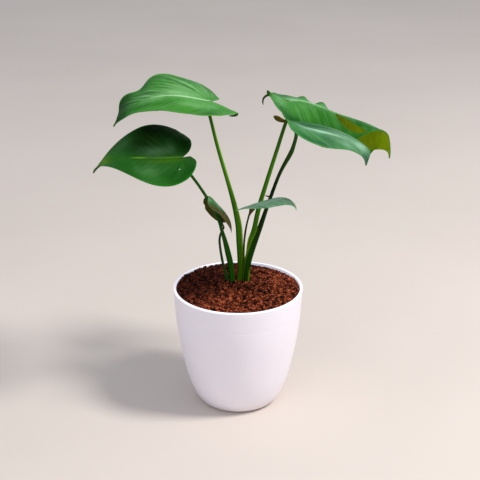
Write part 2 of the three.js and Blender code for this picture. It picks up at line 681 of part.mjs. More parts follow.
function soilBlock() {
  const height = soilSurface();
  const floor = RECESS_HEIGHT + FLOOR_THICKNESS + GAP;
  const rim = potRadius(SOIL_EDGE_HEIGHT) - WALL - GAP - SOIL_TOP_SPARE;
  const points = [new THREE.Vector3(0, 0, height(0, 0))];
  const faces = [];
  const ring = (radius, z) => {
    const start = points.length;
    for (let k = 0; k < SOIL_SECTORS; k += 1) {
      const angle = (2 * Math.PI * k) / SOIL_SECTORS;
      const [x, y] = [radius * Math.cos(angle), radius * Math.sin(angle)];
      points.push(new THREE.Vector3(x, y, z === undefined ? height(x, y) : z));
    }
    return start;
  };
  const band = (upper, lower) => {
    for (let k = 0; k < SOIL_SECTORS; k += 1) {
      const next = (k + 1) % SOIL_SECTORS;
      faces.push([upper + k, lower + k, lower + next], [upper + k, lower + next, upper + next]);
    }
  };
  let previous = ring(rim / SOIL_RINGS);
  for (let k = 0; k < SOIL_SECTORS; k += 1) {
    faces.push([0, previous + k, previous + ((k + 1) % SOIL_SECTORS)]);
  }
  for (let i = 2; i <= SOIL_RINGS; i += 1) {
    const current = ring((rim * i) / SOIL_RINGS);
    band(previous, current);
    previous = current;
  }
  for (const z of SOIL_SIDE_RINGS) {
    const current = ring(potRadius(z) - WALL - GAP - SOIL_SIDE_SPARE, z);
    band(previous, current);
    previous = current;
  }
  const last = ring(potRadius(floor) - WALL - SOIL_FLOOR_SPARE, floor);
  band(previous, last);
  const centre = points.push(new THREE.Vector3(0, 0, floor)) - 1;
  for (let k = 0; k < SOIL_SECTORS; k += 1) {
    faces.push([centre, last + ((k + 1) % SOIL_SECTORS), last + k]);
  }
  return fromTriangles(points, faces);
}

// A crown with its roots, or, grown by the gap, the hollow it sits in.
function crownSolid({ centre: [x, y], radius, roots, reach, depth, turn, way }, grow = 0) {
  const top = CROWN_TOP + grow;
  const low = CROWN_TOP - CROWN_HEIGHT - grow;
  const wide = radius + grow;
  const height = top - low;
  const side = CROWN_OUTLINE.map(([z, share]) => [wide * share, low + (z / CROWN_HEIGHT) * height]);
  const profile = [[0, low], ...side, [0, top]];
  const lathe = new THREE.LatheGeometry(profile.map(([r, z]) => new THREE.Vector2(r, z)), CROWN_SIDES);
  lathe.rotateX(Math.PI / 2);
  lathe.translate(x, y, 0);
  let solid = toManifold(welded(lathe));
  for (let i = 0; i < roots; i += 1) {
    const angle = radians(turn) + way * radians((180 * (i + 0.5)) / roots - 90);
    const bend = ROOT_BEND * Math.sin(2.4 * i + 1);
    const stations = Array.from({ length: ROOT_STEPS + 1 }, (unused, k) => {
      const t = k / ROOT_STEPS;
      const turned = angle + bend * t;
      const start = radius * ROOT_START;
      const spread = start + (reach - start) * Math.sin((t * Math.PI) / 2);
      const drop = ROOT_START_DROP + depth * (0.75 + 0.05 * (i % 3)) * t ** ROOT_DROP_POWER;
      const size = ROOT_RADIUS + (ROOT_END_RADIUS - ROOT_RADIUS) * t;
      return {
        centre: new THREE.Vector3(
          x + spread * Math.cos(turned), y + spread * Math.sin(turned), CROWN_TOP - drop),
        wide: size, deep: size,
      };
    });
    if (grow > 0) {
      const [previous, end] = stations.slice(-2).map((s) => s.centre);
      end.addScaledVector(end.clone().sub(previous).normalize(), grow);
    }
    solid = solid.add(toManifold(tubeGeometry(stations, ROOT_SIDES, grow)));
  }
  return solid;
}

function soilGeometry(stalkLines) {
  let soil = toManifold(soilBlock());
  for (const shoot of Object.values(SHOOTS)) {
    soil = soil.subtract(crownSolid(shoot, CROWN_ROOM));
  }
  for (const stations of Object.values(stalkLines)) {
    const inSoil = stations.filter(({ centre }) => centre.z < HOLE_TOP);
    const foot = inSoil[0].centre.clone();
    foot.z -= 2 * GAP;
    const hole = [{ ...inSoil[0], centre: foot }, ...inSoil];
    soil = soil.subtract(toManifold(tubeGeometry(hole, STALK_SIDES, STALK_ROOM)));
  }
  return toGeometry(soil);
}

const plant = new THREE.Group();

function addPart(name, geometry, material) {
  const mesh = new THREE.Mesh(geometry, material);
  mesh.name = name;
  plant.add(mesh);
}

const stalkLines = Object.fromEntries(
  Object.entries(STALKS).map(([name, stalk]) => [name, stalkStations(stalk)]));

addPart('pot', potGeometry(), WHITE_PLASTIC);
addPart('soil', soilGeometry(stalkLines), SOIL_BROWN);
for (const [name, shoot] of Object.entries(SHOOTS)) {
  addPart(name, toGeometry(crownSolid(shoot)), ROOT_TAN);
}
for (const [name, stations] of Object.entries(stalkLines)) {
  addPart(name, tubeGeometry(stations, STALK_SIDES), STALK_GREENS[name]);
}
for (const [name, leaf] of Object.entries(LEAVES)) {
  addPart(name, leafGeometry(leaf), LEAF_GREENS[name]);
}

export default plant;
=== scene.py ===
"""A potted swiss cheese plant: fine leaves, stalks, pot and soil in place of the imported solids.

Lengths in the tables are millimetres and angles are degrees. The scene itself is in metres.
"""

import math

import bpy
import numpy as np
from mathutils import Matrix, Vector

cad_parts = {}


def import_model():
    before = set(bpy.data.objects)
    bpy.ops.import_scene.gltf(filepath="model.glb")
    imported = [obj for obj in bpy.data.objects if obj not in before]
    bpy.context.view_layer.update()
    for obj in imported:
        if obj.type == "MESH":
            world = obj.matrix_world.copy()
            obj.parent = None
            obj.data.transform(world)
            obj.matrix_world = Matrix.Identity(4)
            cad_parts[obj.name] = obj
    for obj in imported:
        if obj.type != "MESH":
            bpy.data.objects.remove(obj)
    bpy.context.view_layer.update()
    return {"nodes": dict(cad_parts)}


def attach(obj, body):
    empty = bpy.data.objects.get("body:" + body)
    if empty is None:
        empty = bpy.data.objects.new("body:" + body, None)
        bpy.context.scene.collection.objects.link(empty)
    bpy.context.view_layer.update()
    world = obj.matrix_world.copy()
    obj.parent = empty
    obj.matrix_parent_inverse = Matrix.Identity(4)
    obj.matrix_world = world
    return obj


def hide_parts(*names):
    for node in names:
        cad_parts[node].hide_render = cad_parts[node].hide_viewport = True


MM = 0.001

# Camera
EYE = (0.00196, -1.1035, 0.6201)
CAMERA_TILT = 68
LENS = 90
SENSOR = 36

# Light, with places and sizes in metres and power in watts
SKY_COLOUR = (0.86, 0.9, 1)
SKY_STRENGTH = 0.64
LAMPS = [
    {"name": "key", "place": (1.21, -0.35, 1.8), "target": (0, 0, 0.18), "size": 0.5, "power": 40,
     "colour": (1, 0.97, 0.92)},
    {"name": "fill", "place": (-0.7, -1.5, 1.2), "target": (0, 0, 0.15), "size": 1.2, "power": 5,
     "colour": (0.96, 0.97, 1)},
]
FLOOR_REACH = 6

# Pot
POT_HEIGHT = 124
RIM_RADIUS = 65
RIM_ROUND = 0.5
WALL = 2
LIP = 0.6
LIP_DEPTH = 1.3
LIP_END = 2.4
FOOT_INNER_RADIUS = 25
FOOT_OUTER_RADIUS = 33.5
RECESS_HEIGHT = 2.5
FLOOR_THICKNESS = 2.5
PAD_RADIUS = 8
PAD_TAPER = 1
DRAIN_HOLES = 6
DRAIN_RADIUS = 2.5
DRAIN_CIRCLE = 16
DRAIN_TURNS = 24
DRAIN_SPAN = (-1, 9)
POT_OUTLINE = [
    (0, FOOT_OUTER_RADIUS), (0.012, 38.2), (0.04, 41.6), (0.12, 46.8),
    (0.25, 52.2), (0.45, 57.6), (0.7, 62.4), (1, RIM_RADIUS),
]
POT_TURNS = 192
# Heights of the wall's rings: from, to and how many.
WALL_BANDS = ((0, 8, 20), (9, 98, 50), (99, POT_HEIGHT - RIM_ROUND, 50))
INSIDE_STEPS = 50
INSIDE_CORNER = 3
FOOT_FLAT = (28, 31)
NEAR_MIDDLE = 0.01
# Faint rings pressed into the wall: height, depth and half width.
WALL_RINGS = [(121.6, 0.16, 0.7), (101.5, 0.09, 1.2)]

# Soil
SOIL_EDGE_HEIGHT = 120.5
MOUND_HEIGHT = 3
MOUND_RADIUS = 34
MOUND_CENTRE_Y = 12
SOIL_SEED = 7
LUMPS = 90
LUMP_HEIGHT = (0.5, 1.7)
LUMP_RADIUS = (3, 8)
LUMP_MARGIN = 5
SOIL_SIDE_RINGS = (95, 66, 40, 22, 13, 8.3)
SOIL_TURNS = 540
SOIL_RINGS = 160
# The soil climbs to the wall at the left back edge.
EDGE_RISE = 2
EDGE_RISE_WIDTH = 26
EDGE_RISE_BACK = (-30, 20)
EDGE_RISE_LEFT = (25, -20)
# Rings of the surface crowd a little toward its edge.
RING_BUNCHING = 0.85
# Room left between the soil and the inside of the pot.
WALL_GAP = 0.5
SIDE_GAP = 0.8
FLOOR_GAP = 0.3
BOTTOM_GAP = 4
# How deep the pressed crumbs sit below the surface, and how far they may rise over the rim.
CRUMB_SINK = 1.5
RIM_RISE = 1.5
CRUMB_CELLS = 760
PRESSED_CRUMBS = {"seed": 11, "count": 11000, "low": 0.6, "high": 2.8}
LOOSE_CRUMBS = {"seed": 23, "count": 6500, "reach": 0.985, "largest": 2}
CRUMB_STRETCH = (0.8, 1.5)
FIBRES = {"seed": 31, "count": 420, "steps": 6, "sides": 4}
FIBRE_LENGTH = (2.5, 7)
FIBRE_THICKNESS = (0.1, 0.24)
FIBRE_ARCH = (0.1, 0.8)
FIBRE_BEND = 0.45
# Tints: soil in the painted shadow of the leaves, what soil out of it gains, and where the one turns into
# the other.
SHADED_TINT = 0.62
LIT_GAIN = 0.38
SHADE_EDGE_SPAN = (-45, 15)
SHADE_EDGE_SLANT = 0.8
SIDE_TINT = 0.4
# Crumb heights over which the tint rises out of the painted shade in the gaps between crumbs.
GAP_SHADE_SPAN = (0.3, 1.1)

# Leaves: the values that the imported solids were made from, on a finer grid and with small
# corrections to the margins of leaves 2 and 3
HEART = [
    (0, 0), (-0.06, 0.035), (-0.14, 0.13), (-0.205, 0.31), (-0.215, 0.52),
    (-0.15, 0.75), (-0.01, 0.93), (0.17, 1), (0.37, 0.93), (0.56, 0.72),
    (0.73, 0.44), (0.87, 0.185), (0.95, 0.055), (1, 0),
]
SPLIT = {
    "half": "right",
    "inner": [
        (44.8, 1.2), (50, 1.4), (55, 1.8), (60.5, 2.9), (66, 4.7), (72, 6.6), (80, 9.2), (89, 13),
    ],
    "outer": [
        (44.8, 1.2), (50, 4.2), (54, 7.7), (59, 10.5), (65, 13.3), (72, 14.9), (81, 15.6), (89, 13),
    ],
}
PINHOLE = {
    "half": "left",
    "inner": [(2.2, 18.2), (2.5, 17.5), (3.2, 17.2), (3.9, 17.5), (4.2, 18.2)],
    "outer": [(2.2, 18.2), (2.5, 18.9), (3.2, 19.2), (3.9, 18.9), (4.2, 18.2)],
}
LEAVES = {
    "leaf_1": {
        "length": 104.4, "base": (-27.2, 10.2, 313.5), "lobe_pitch": 10.9,
        "head": (189.3, 180.3, 194.8), "pitch": (12.8, 2.1, -23.6, -27.6), "roll": (-6, -15.8, 7.6),
        "droop": (0.73, 0.16, 23.94),
        "left": {
            "width": 39.9, "lobe": 1.07, "fold": (-17.6, -20.2, -18.8), "curl": (36.1, 65.8, 84),
            "broad": [(0.85, 0.1, 0.37)],
        },
        "right": {
            "width": 65.4, "lobe": 0.64, "fold": (7.4, -2, -8.6), "curl": (-30.3, -12, 99.6),
            "wave": (0.89, 2.1, 0.19), "broad": [(0.85, 0.1, 0.54)],
            "bumps": [(0.66, 0.08, 0.73, -5.6), (-0.14, 0.12, 0.5, -2.66)],
        },
        "rows": 160, "columns": 36,
    },
    "leaf_2": {
        "length": 90, "base": (-54.5, -14, 265), "lobe_pitch": -25,
        "head": (189, 183, 165), "pitch": (-2, 3, -10, -60), "roll": (-35, -44, -11),
        "left": {
            "width": 38, "lobe": 0.64, "fold": (19, 9, 31), "curl": (-8, 44, 96),
            "cheek": (0.085, 0.035, 0.1),
        },
        "right": {"width": 45, "lobe": 0.78, "fold": (2, -8, -8), "curl": (-31, -16, -8)},
        "rows": 150, "columns": 64, "hole": PINHOLE,
    },
    "leaf_3": {
        "length": 130.3, "base": (52.2, 35.7, 306.9), "lobe_pitch": -41.6,
        "head": (8.2, -3.4, -104.2), "pitch": (4.4, -23.7, -16, -78.2), "roll": (-5.7, -12.3, -100.9),
        "droop": (0.75, 0.14, 13.3),
        "left": {
            "width": 56.7, "lobe": 0.6, "fold": (10.8, -30.2, -34.8), "curl": (-44.7, -61, -42.3),
            "wave": (3, 3.85, 0.14), "broad": [(0.82, 0.12, 0.25), (0.89, 0.05, 1.3), (0.8, 0.05, 0.2)],
            "bumps": [(0.137, 0.036, 0.38, 5.4), (0.27, 0.05, 0.18, 5.96), (0.19, 0.04, 0.29, -1.99)],
        },
        "right": {
            "width": 33.8, "lobe": 0.98, "fold": (-25.9, -51.2, 11.8), "curl": (-33.6, -57.9, -27.7),
            "broad": [(0.8, 0.12, -0.16), (-0.11, 0.08, 0.16)],
            "bumps": [(-0.12, 0.12, 0.25, 4), (0.82, 0.07, 0.2, 3)],
        },
        "rows": 180, "columns": 42, "hole": SPLIT,
    },
    "leaf_4": {
        "length": 81.4, "base": (55.6, -24.2, 300.3), "lobe_pitch": 25.4,
        "head": (-17.2, -0.1, -51.8), "pitch": (-20.3, -14.8, -31.2, -57.8), "roll": (-16.8, 3.6, 4.3),
        "droop": (0.83, 0.1, 25.67),
        "left": {
            "width": 36.8, "lobe": 0.86, "fold": (11.1, 6.3, 6.6), "curl": (-16.2, -36.6, -98.7),
            "broad": [(0.84, 0.08, 0.95)],
        },
        "right": {"width": 26.6, "lobe": 0.4, "fold": (5.4, -8.1, 13.6), "curl": (-35.8, -10.9, 19.4)},
        "rows": 150, "columns": 34,
    },
    "leaf_5": {
        "length": 40, "base": (-24.3, 1, 217), "lobe_pitch": 8,
        "head": (-27, -48, -43), "pitch": (-42, -34, -53, -98), "roll": (5, 20, 10),
        "left": {"width": 28, "lobe": 1, "fold": (-47, -60, -55), "curl": (-45, -60, -30)},
        "right": {"width": 8, "lobe": 0.5, "fold": (3, -25, -15), "curl": (-63, -100, -50)},
        "rows": 90, "columns": 20,
    },
    "leaf_6": {
        "length": 48.5, "base": (14, -14, 214.5), "lobe_pitch": -5,
        "head": (6, -8, -7), "pitch": (15, 18, -6, -83), "roll": (-8, 3, 9),
        "left": {"width": 15, "lobe": 1.5, "fold": (-3, -4, -4), "curl": (-1, -15, -22)},
        "right": {"width": 14, "lobe": 0.6, "fold": (5, -5, -13), "curl": (2, -9, -22)},
        "rows": 90, "columns": 18,
    },
}
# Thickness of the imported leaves, which the stalks end under
LEAF_THICKNESS = 0.8
RIB_BUNCHING = 1.35
LOBE_TURN = 0.3
LOBE_REACH = 0.2
CROSS_STEPS = 10
SPINE_STEPS = 560
SPINE_START = -0.35
SPINE_END = 1.05
NO_DROOP = (1, 1, 0)
NO_CHEEK = (1, 1, 0)
FACE_STEP = 0.004
NARROW_TIP = 5
SHARP_ANGLE = 50
PIPE_SHARP_ANGLE = 60

# Section of a blade: half its thickness, and height and reach of its keel and its groove.
SMALL_LEAF = 60
SMALL_SECTION = {"half": 0.22, "keel": (0.5, 0.9), "groove": (0.12, 0.5)}
LARGE_SECTION = {"half": 0.27, "keel": (0.95, 1.5), "groove": (0.3, 0.8)}

# Side veins: how far they slant and bend to the tip, how the lobes' veins fan out, and
# how far apart they leave the midrib as a share of the leaf's length.
VEIN_SLANT = {
    "leaf_1": 1.5, "leaf_2": 0.8, "leaf_3": 0.7, "leaf_4": 2.2, "leaf_5": 1.2, "leaf_6": 3,
}
# How often streaks and grooves come between two side veins, and where their noise begins and ends.
STREAK_LINES = (("Streaks", 2.4, 0.42, 0.62), ("Grooves", 1.9, 0.44, 0.64))
VEIN_BEND = 0.45
VEIN_FAN = 16
VEIN_SPACING = 0.085

# Soft patches over a blade: where along, where across with the left half positive, how far
# each way, and how strong. Dark is deeper green and painted shade, such as leaf 1's shadow
# on leaf 2; pale is painted sheen where the sky would reflect; warm is yellow green; rib is
# where the midrib stands out, paler and in a painted highlight; and lines is where streaks
# of painted sheen and grooves follow the veins.
PATCHES = {
    "leaf_1": {
        "dark": [(0.9, -0.1, 0.17, 0.9, 1), (0.8, -0.5, 0.1, 0.4, 0.8), (0.6, -0.75, 0.25, 0.2, 0.5),
                 (0.62, 0.24, 0.1, 0.1, 0.5), (0.05, 0.75, 0.12, 0.3, 0.5), (0.42, 0.3, 0.1, 0.1, 0.4),
                 (-0.1, -0.75, 0.12, 0.3, 0.5)],
        "pale": [(0.3, -0.06, 0.2, 0.12, 0.9), (0.02, 0.2, 0.12, 0.25, 0.5), (0.08, -0.45, 0.1, 0.3, 0.15),
                 (0.55, 0.08, 0.14, 0.1, 0.5), (0.2, 0.3, 0.12, 0.14, 0.4)],
        "warm": [(0.86, -0.3, 0.07, 0.16, 0.6), (0.24, 0.55, 0.18, 0.2, 0.5), (0.55, -0.85, 0.25, 0.1, 0.6),
                 (0.32, 0.8, 0.2, 0.12, 0.5)],
        "rib": [(0.12, 0, 0.26, 1, 0.85), (0.42, 0, 0.16, 1, 0.4)],
        "lines": [(0.25, -0.35, 0.3, 0.32, 0.75), (0.56, -0.12, 0.16, 0.14, 1), (0.3, 0.5, 0.6, 0.6, 0.2)],
    },
    "leaf_2": {
        # Leaf 2's first dark patch is painted shadow, cast by leaf 1 above it.
        "dark": [(0.3, -0.78, 0.22, 0.38, 1), (0.02, -0.45, 0.12, 0.3, 0.3), (0.42, -0.34, 0.14, 0.2, 0.5),
                 (-0.1, -0.3, 0.08, 0.3, 0.6)],
        "pale": [(0.62, -0.4, 0.1, 0.2, 0.3), (0.3, -0.16, 0.16, 0.12, 1), (0.3, 0.4, 0.22, 0.25, 0.35),
                 (0.44, 0.93, 0.07, 0.07, 1.3), (0.1, -0.3, 0.06, 0.2, 0.4)],
        "warm": [(0.83, -0.06, 0.07, 0.22, 1), (0.16, 0.1, 0.2, 0.08, 0.6), (0.34, -0.5, 0.1, 0.12, 0.3)],
        "rib": [(0.08, 0, 0.24, 1, 0.8), (0.44, 0, 0.07, 1, 1)],
        "lines": [(0.3, -0.35, 0.16, 0.25, 0.7), (0.25, 0.5, 0.3, 0.4, 0.4)],
    },
    "leaf_3": {
        "dark": [(0, -0.85, 0.16, 0.25, 1), (0.5, 0.4, 0.2, 0.6, 0.7), (-0.04, 0.3, 0.04, 0.2, 0.5),
                 (0.3, -0.85, 0.3, 0.16, 0.6), (0.66, -0.1, 0.16, 0.14, 0.6), (0.15, 0.42, 0.03, 0.14, 1)],
        "pale": [(-0.12, -0.42, 0.08, 0.3, 0.4), (0.2, 0.02, 0.4, 0.08, 0.6), (0.7, -0.02, 0.14, 0.1, 0.6),
                 (0, 0.1, 0.06, 0.2, 0.5)],
        "warm": [(0.9, -0.12, 0.08, 0.28, 2)],
        "rib": [(0.1, 0, 0.22, 1, 0.7)],
        "lines": [(0.15, -0.3, 0.3, 0.8, 0.6), (0.7, -0.3, 0.2, 0.3, 0.25)],
    },
    "leaf_4": {
        "dark": [(0.1, 0.3, 0.2, 0.2, 1.2), (0.28, -0.9, 0.3, 0.16, 0.9), (0.95, -0.02, 0.11, 0.3, 1.4),
                 (0.36, -0.45, 0.12, 0.2, 0.6), (0.42, 0.3, 0.16, 0.14, 0.8)],
        "pale": [(0.05, -0.14, 0.22, 0.14, 0.9), (0.28, -0.02, 0.2, 0.07, 1), (0.6, 0.1, 0.2, 0.14, 0.8),
                 (0.78, 0.2, 0.06, 0.2, 0.8), (0.6, -0.3, 0.2, 0.2, 0.4)],
        "warm": [(0.93, -0.1, 0.06, 0.1, 0.5), (0.2, -0.6, 0.2, 0.2, 0.3)],
        "rib": [(0.3, 0, 0.25, 1, 0.5)],
        "lines": [(0.62, 0, 0.34, 1, 0.9), (0.1, -0.4, 0.15, 0.3, 0.3)],
    },
    "leaf_5": {
        "dark": [(0.9, 0, 0.14, 0.4, 0.9)],
        "pale": [(0.16, -0.1, 0.2, 0.12, 1), (-0.04, -0.55, 0.06, 0.2, 1)],
        "warm": [(0.27, -0.62, 0.14, 0.24, 1.4), (0.5, -0.35, 0.12, 0.3, 1.5), (0.76, 0, 0.22, 3, 1.6),
                 (0.1, -0.9, 0.12, 0.18, 1.2), (0.3, 0.7, 0.4, 0.5, 0.4)],
        "rib": [],
        "lines": [(0.3, 0, 0.5, 2, 0.6)],
    },
    "leaf_6": {
        "dark": [(0.75, 0.3, 0.14, 0.25, 0.8), (0.1, -0.85, 0.2, 0.12, 0.4), (0.3, 0.95, 0.5, 0.15, 0.4)],
        "pale": [(0.3, 0.2, 0.4, 0.3, 0.8), (0.7, -0.2, 0.12, 0.2, 0.5)],
        "warm": [(0.98, 0, 0.12, 0.2, 1)],
        "rib": [(0.3, 0, 0.2, 1, 0.5)],
        "lines": [(0.5, 0, 1, 2, 1)],
    },
}
PATCH_KINDS = ("dark", "pale", "warm", "rib", "lines")

# How strongly the side veins swell each blade.
RELIEF = {
    "leaf_1": 1.25, "leaf_2": 0.45, "leaf_3": 0.4, "leaf_4": 0.6, "leaf_5": 0.8, "leaf_6": 1.6,
}
SWELL_HEIGHT = 0.5
RIPPLE_HEIGHT = 0.3

# Stalks: x, y, z, half width, half depth of each point
STALKS = {
    "stalk_a": {
        "leaf": "leaf_1", "tip": 1.6, "rise": 6, "clear": 0.5, "rib": 1.5,
        "route": [
            (1.5, 14, 115, 2.1, 2.1), (2, 14, 144.5, 2.6, 2.3), (1.5, 14, 167.5, 3.3, 2.4),
            (0.5, 13.5, 185, 3.2, 2.3), (-4, 13, 208, 2.5, 2.1), (-10.5, 12.5, 233, 2, 1.9),
            (-19.5, 12, 266, 1.8, 1.8), (-26, 11, 294, 1.6, 1.6),
        ],
    },
    "stalk_b": {
        "leaf": "leaf_3", "tip": 1.5, "rise": 6, "clear": 1, "rib": 1.5,
        "route": [
            (9, 18, 115, 2, 2), (9.5, 18, 143, 2.2, 2), (12, 17.5, 166, 2.5, 2.1),
            (16, 18, 178, 2.5, 2.1), (20.5, 19, 200, 2.4, 2.1), (29, 20.5, 230, 2.1, 1.9),
            (38, 24, 259, 1.9, 1.8), (47, 29, 287, 1.7, 1.7),
        ],
    },
    "stalk_c": {
        "leaf": "leaf_4", "tip": 1.5, "rise": 2, "clear": 0.2, "rib": 1.5,
        "route": [
            (7.6, 12.5, 115, 2.8, 2.2), (9.7, 12.5, 145, 3.8, 2.3), (15.6, 12, 166.5, 3.7, 2.3),
            (21.5, 11, 182.5, 2.7, 2.1), (28, 8, 204, 2, 1.9), (38, 1, 237, 1.7, 1.7),
            (42.6, -3.4, 250, 1.8, 1.7), (50.4, -8.4, 267, 2.2, 2), (52.8, -11.4, 275, 1.9, 1.8),
            (55, -17.4, 288, 1.7, 1.6),
        ],
    },
    "stalk_d": {
        "leaf": "leaf_2", "tip": 1.4, "rise": 6, "clear": 0.4, "rib": 1.5,
        "route": [
            (-5.3, 13, 115, 2.9, 2.3), (-7.5, 13, 141.5, 3, 2.3), (-10.8, 12, 158.5, 2.8, 2.2),
            (-13.2, 10.5, 169.5, 2.3, 2), (-15.8, 8.5, 180, 1.8, 1.7), (-19, 6, 192.5, 1.5, 1.5),
            (-24.5, 3, 207.5, 1.5, 1.5), (-29.5, 1, 217, 1.5, 1.5), (-38, -3, 232.5, 1.4, 1.4),
            (-45, -6.5, 244, 1.4, 1.4),
        ],
    },
    "stalk_e": {
        "leaf": "leaf_5", "tip": 0.9, "rise": 0, "clear": 1.3, "rib": 0.9,
        "route": [
            (-9.8, 13.5, 115, 1.7, 1.5), (-12.4, 15, 130.5, 1.5, 1.4), (-16, 16.5, 145.5, 1.3, 1.3),
            (-18.6, 16, 165.5, 1.2, 1.2), (-17.8, 14, 174, 1.1, 1.1), (-15.6, 11.6, 180.5, 1, 1),
            (-14.2, 8, 184.5, 0.9, 0.9), (-15.4, 4, 189.5, 0.9, 0.9), (-17.4, 3, 195.5, 0.9, 0.9),
            (-19.6, 2.1, 201, 0.9, 0.9), (-21, 1.5, 206, 0.9, 0.9),
        ],
    },
    "stalk_f": {
        "leaf": "leaf_6", "tip": 1.1, "rise": 0, "clear": 0.7, "rib": 0.9,
        "route": [
            (4.5, 9, 115, 1.1, 1.1), (5.5, 8.8, 146, 1.1, 1.1), (6, 8, 167, 1, 1),
            (7.5, 3.5, 183, 1, 1), (9.5, -4, 196.5, 0.9, 0.9), (12, -10.5, 207.5, 1, 1),
        ],
    },
}

# How a stalk meets its leaf: room under the midrib, how far ahead its last points lie, its taper.
UNDER_RIB = 0.3
LAST_BEND_AHEAD = -0.5
END_AHEAD = 1.5
END_TAPER = 0.8

# Bright edges of the stalks, partly their winged sheaths and partly painted light on the side
# toward the key lamp: which side, from and to which height, how strong.
STALK_WINGS_AND_LIT_SIDES = {
    "stalk_a": [(1, 106, 214, 1), (1, 206, 310, 0.55), (-1, 106, 132, 0.7)],
    "stalk_b": [(-1, 138, 176, 0.9), (1, 150, 182, 0.8), (1, 175, 310, 0.4)],
    "stalk_c": [(-1, 128, 186, 1), (1, 106, 142, 0.9)],
    "stalk_d": [(1, 106, 150, 0.7)],
    "stalk_e": [(1, 106, 140, 0.6)],
    "stalk_f": [],
}
BAND_FADE = 8
BAND_SPAN = (0.3, 0.95)
BAND_LEAST = 0.05
# Painted shade on each stalk's side away from the key lamp, wherever no bright edge is.
SHADE = -0.8
SHADE_SPAN = (0.1, 0.95)

# Small dried and curled ends: x, y, z, half width up, half width back along each.
CURLS = {
    "leaf_1_lobe_end": [
        (-8, -14.5, 305.8, 0.4, 0.4), (-5, -12.6, 305.4, 0.9, 0.9), (-2.4, -9.8, 305.1, 1.2, 1),
        (-0.8, -6.8, 305.1, 1.2, 1), (0, -4.6, 305.4, 0.5, 0.5),
    ],
    "leaf_3_lobe_knob": [
        (32.6, 19.5, 314.6, 0.8, 0.8), (30.8, 19.8, 317, 1.5, 1.3), (29.4, 20, 319, 1.8, 1.6),
        (28.6, 20.1, 320.6, 1.3, 1.2), (28.3, 20.1, 321.4, 0.4, 0.4),
    ],
    "leaf_3_lobe_hook": [
        (31.2, 19.4, 316.8, 1, 1), (28.6, 18.9, 316.9, 1.2, 1), (26.4, 18.5, 315.8, 1.1, 0.9),
        (24.7, 18.2, 313.9, 0.95, 0.8), (24, 18.1, 311.6, 0.8, 0.7), (24, 18, 309.4, 0.6, 0.5),
        (24.4, 18, 307.6, 0.25, 0.25),
    ],
    "leaf_4_lobe_end": [
        (46.6, -34.6, 306.6, 0.8, 0.8), (44, -32, 305.9, 1.3, 1.1), (41, -29, 305.7, 1.9, 1.4),
        (38, -26.5, 306.3, 2.4, 1.7), (35.6, -24.8, 307.2, 2.3, 1.7), (34, -23.8, 308, 1.5, 1.2),
        (33.4, -23.4, 308.4, 0.5, 0.5),
    ],
    "stalk_c_stub": [
        (31.6, 5.6, 217.6, 0.8, 0.8), (29.6, 5.8, 218.2, 0.75, 0.7), (27.8, 6, 218.6, 0.6, 0.6),
        (26.8, 6, 218.5, 0.3, 0.3),
    ],
    "stalk_f_flare": [
        (11, -8, 203.6, 0.9, 0.9), (11.8, -9.8, 206.4, 1.25, 1.1), (12.6, -11.2, 208.8, 1.8, 1.3),
        (13.3, -12.5, 211, 2.4, 1.4), (13.9, -13.4, 212.9, 2.9, 1.2), (14, -13.7, 213.5, 2.6, 0.8),
    ],
}


# Finishes, with colours as display values between 0 and 255

# The faint lilac in these whites is painted bounce light from the sky and the ground.
PLASTIC_LOOK = {
    "shade": (238, 232, 241), "clear": (243, 238, 246),
    "foot_specks": (214, 190, 172), "painted_glow": (206, 212, 226),
}
# Height under which the plastic turns warmer and darker in specks toward the floor.
FOOT_SPECK_HEIGHT = 0.014
# Painted light: where the plastic glows as if lit, on its inner wall and its rim top, by radius and height
# in metres.
INNER_WALL = (0.0635, 0.0628)
INNER_BAND = (0.112, 0.118)
RIM_TOP = (0.1222, 0.1232)
PAINTED_GLOW_STRENGTH = 0.5
ROOT_LOOK = {"bark": (148, 123, 90), "light": (190, 167, 133), "dark": (118, 89, 63)}
FLOOR_LOOK = {"dark": (208, 198, 190), "light": (212, 202, 194)}
# The soil's dark colour serves both dark crumbs and the painted shade in gaps and under the leaves.
SOIL_LOOK = {"dark": (5, 2, 1), "warm": (106, 43, 23), "bright": (200, 100, 62)}
FIBRE_LOOK = {"dark": (60, 24, 12), "warm": (150, 72, 44), "bright": (190, 110, 72)}

# In each stalk's colours the bright yellow one serves the winged edges and the painted light on the lit
# side, and deep is the painted shade on the other side.
STALK_LOOKS = {
    "stalk_a": {"low": (46, 96, 0), "middle": (58, 124, 2), "high": (32, 94, 2),
                "line": (70, 120, 8), "wing_and_painted_light": (136, 176, 16), "deep": (12, 46, 0)},
    "stalk_b": {"low": (84, 136, 2), "middle": (56, 126, 0), "high": (28, 84, 0),
                "line": (80, 132, 16), "wing_and_painted_light": (146, 182, 40), "deep": (14, 52, 0)},
    "stalk_c": {"low": (20, 66, 0), "middle": (6, 40, 0), "high": (34, 84, 2),
                "line": (24, 64, 0), "wing_and_painted_light": (112, 152, 16), "deep": (2, 24, 0)},
    "stalk_d": {"low": (24, 88, 0), "middle": (20, 76, 0), "high": (4, 34, 0),
                "line": (34, 82, 8), "wing_and_painted_light": (52, 108, 16), "deep": (4, 24, 0)},
    "stalk_e": {"low": (24, 76, 20), "middle": (22, 52, 6), "high": (24, 44, 4),
                "line": (44, 84, 20), "wing_and_painted_light": (60, 116, 40), "deep": (10, 32, 4)},
    "stalk_f": {"low": (36, 64, 2), "middle": (42, 62, 2), "high": (60, 56, 4),
                "line": (64, 88, 16), "wing_and_painted_light": (72, 96, 16), "deep": (18, 30, 0)},
}
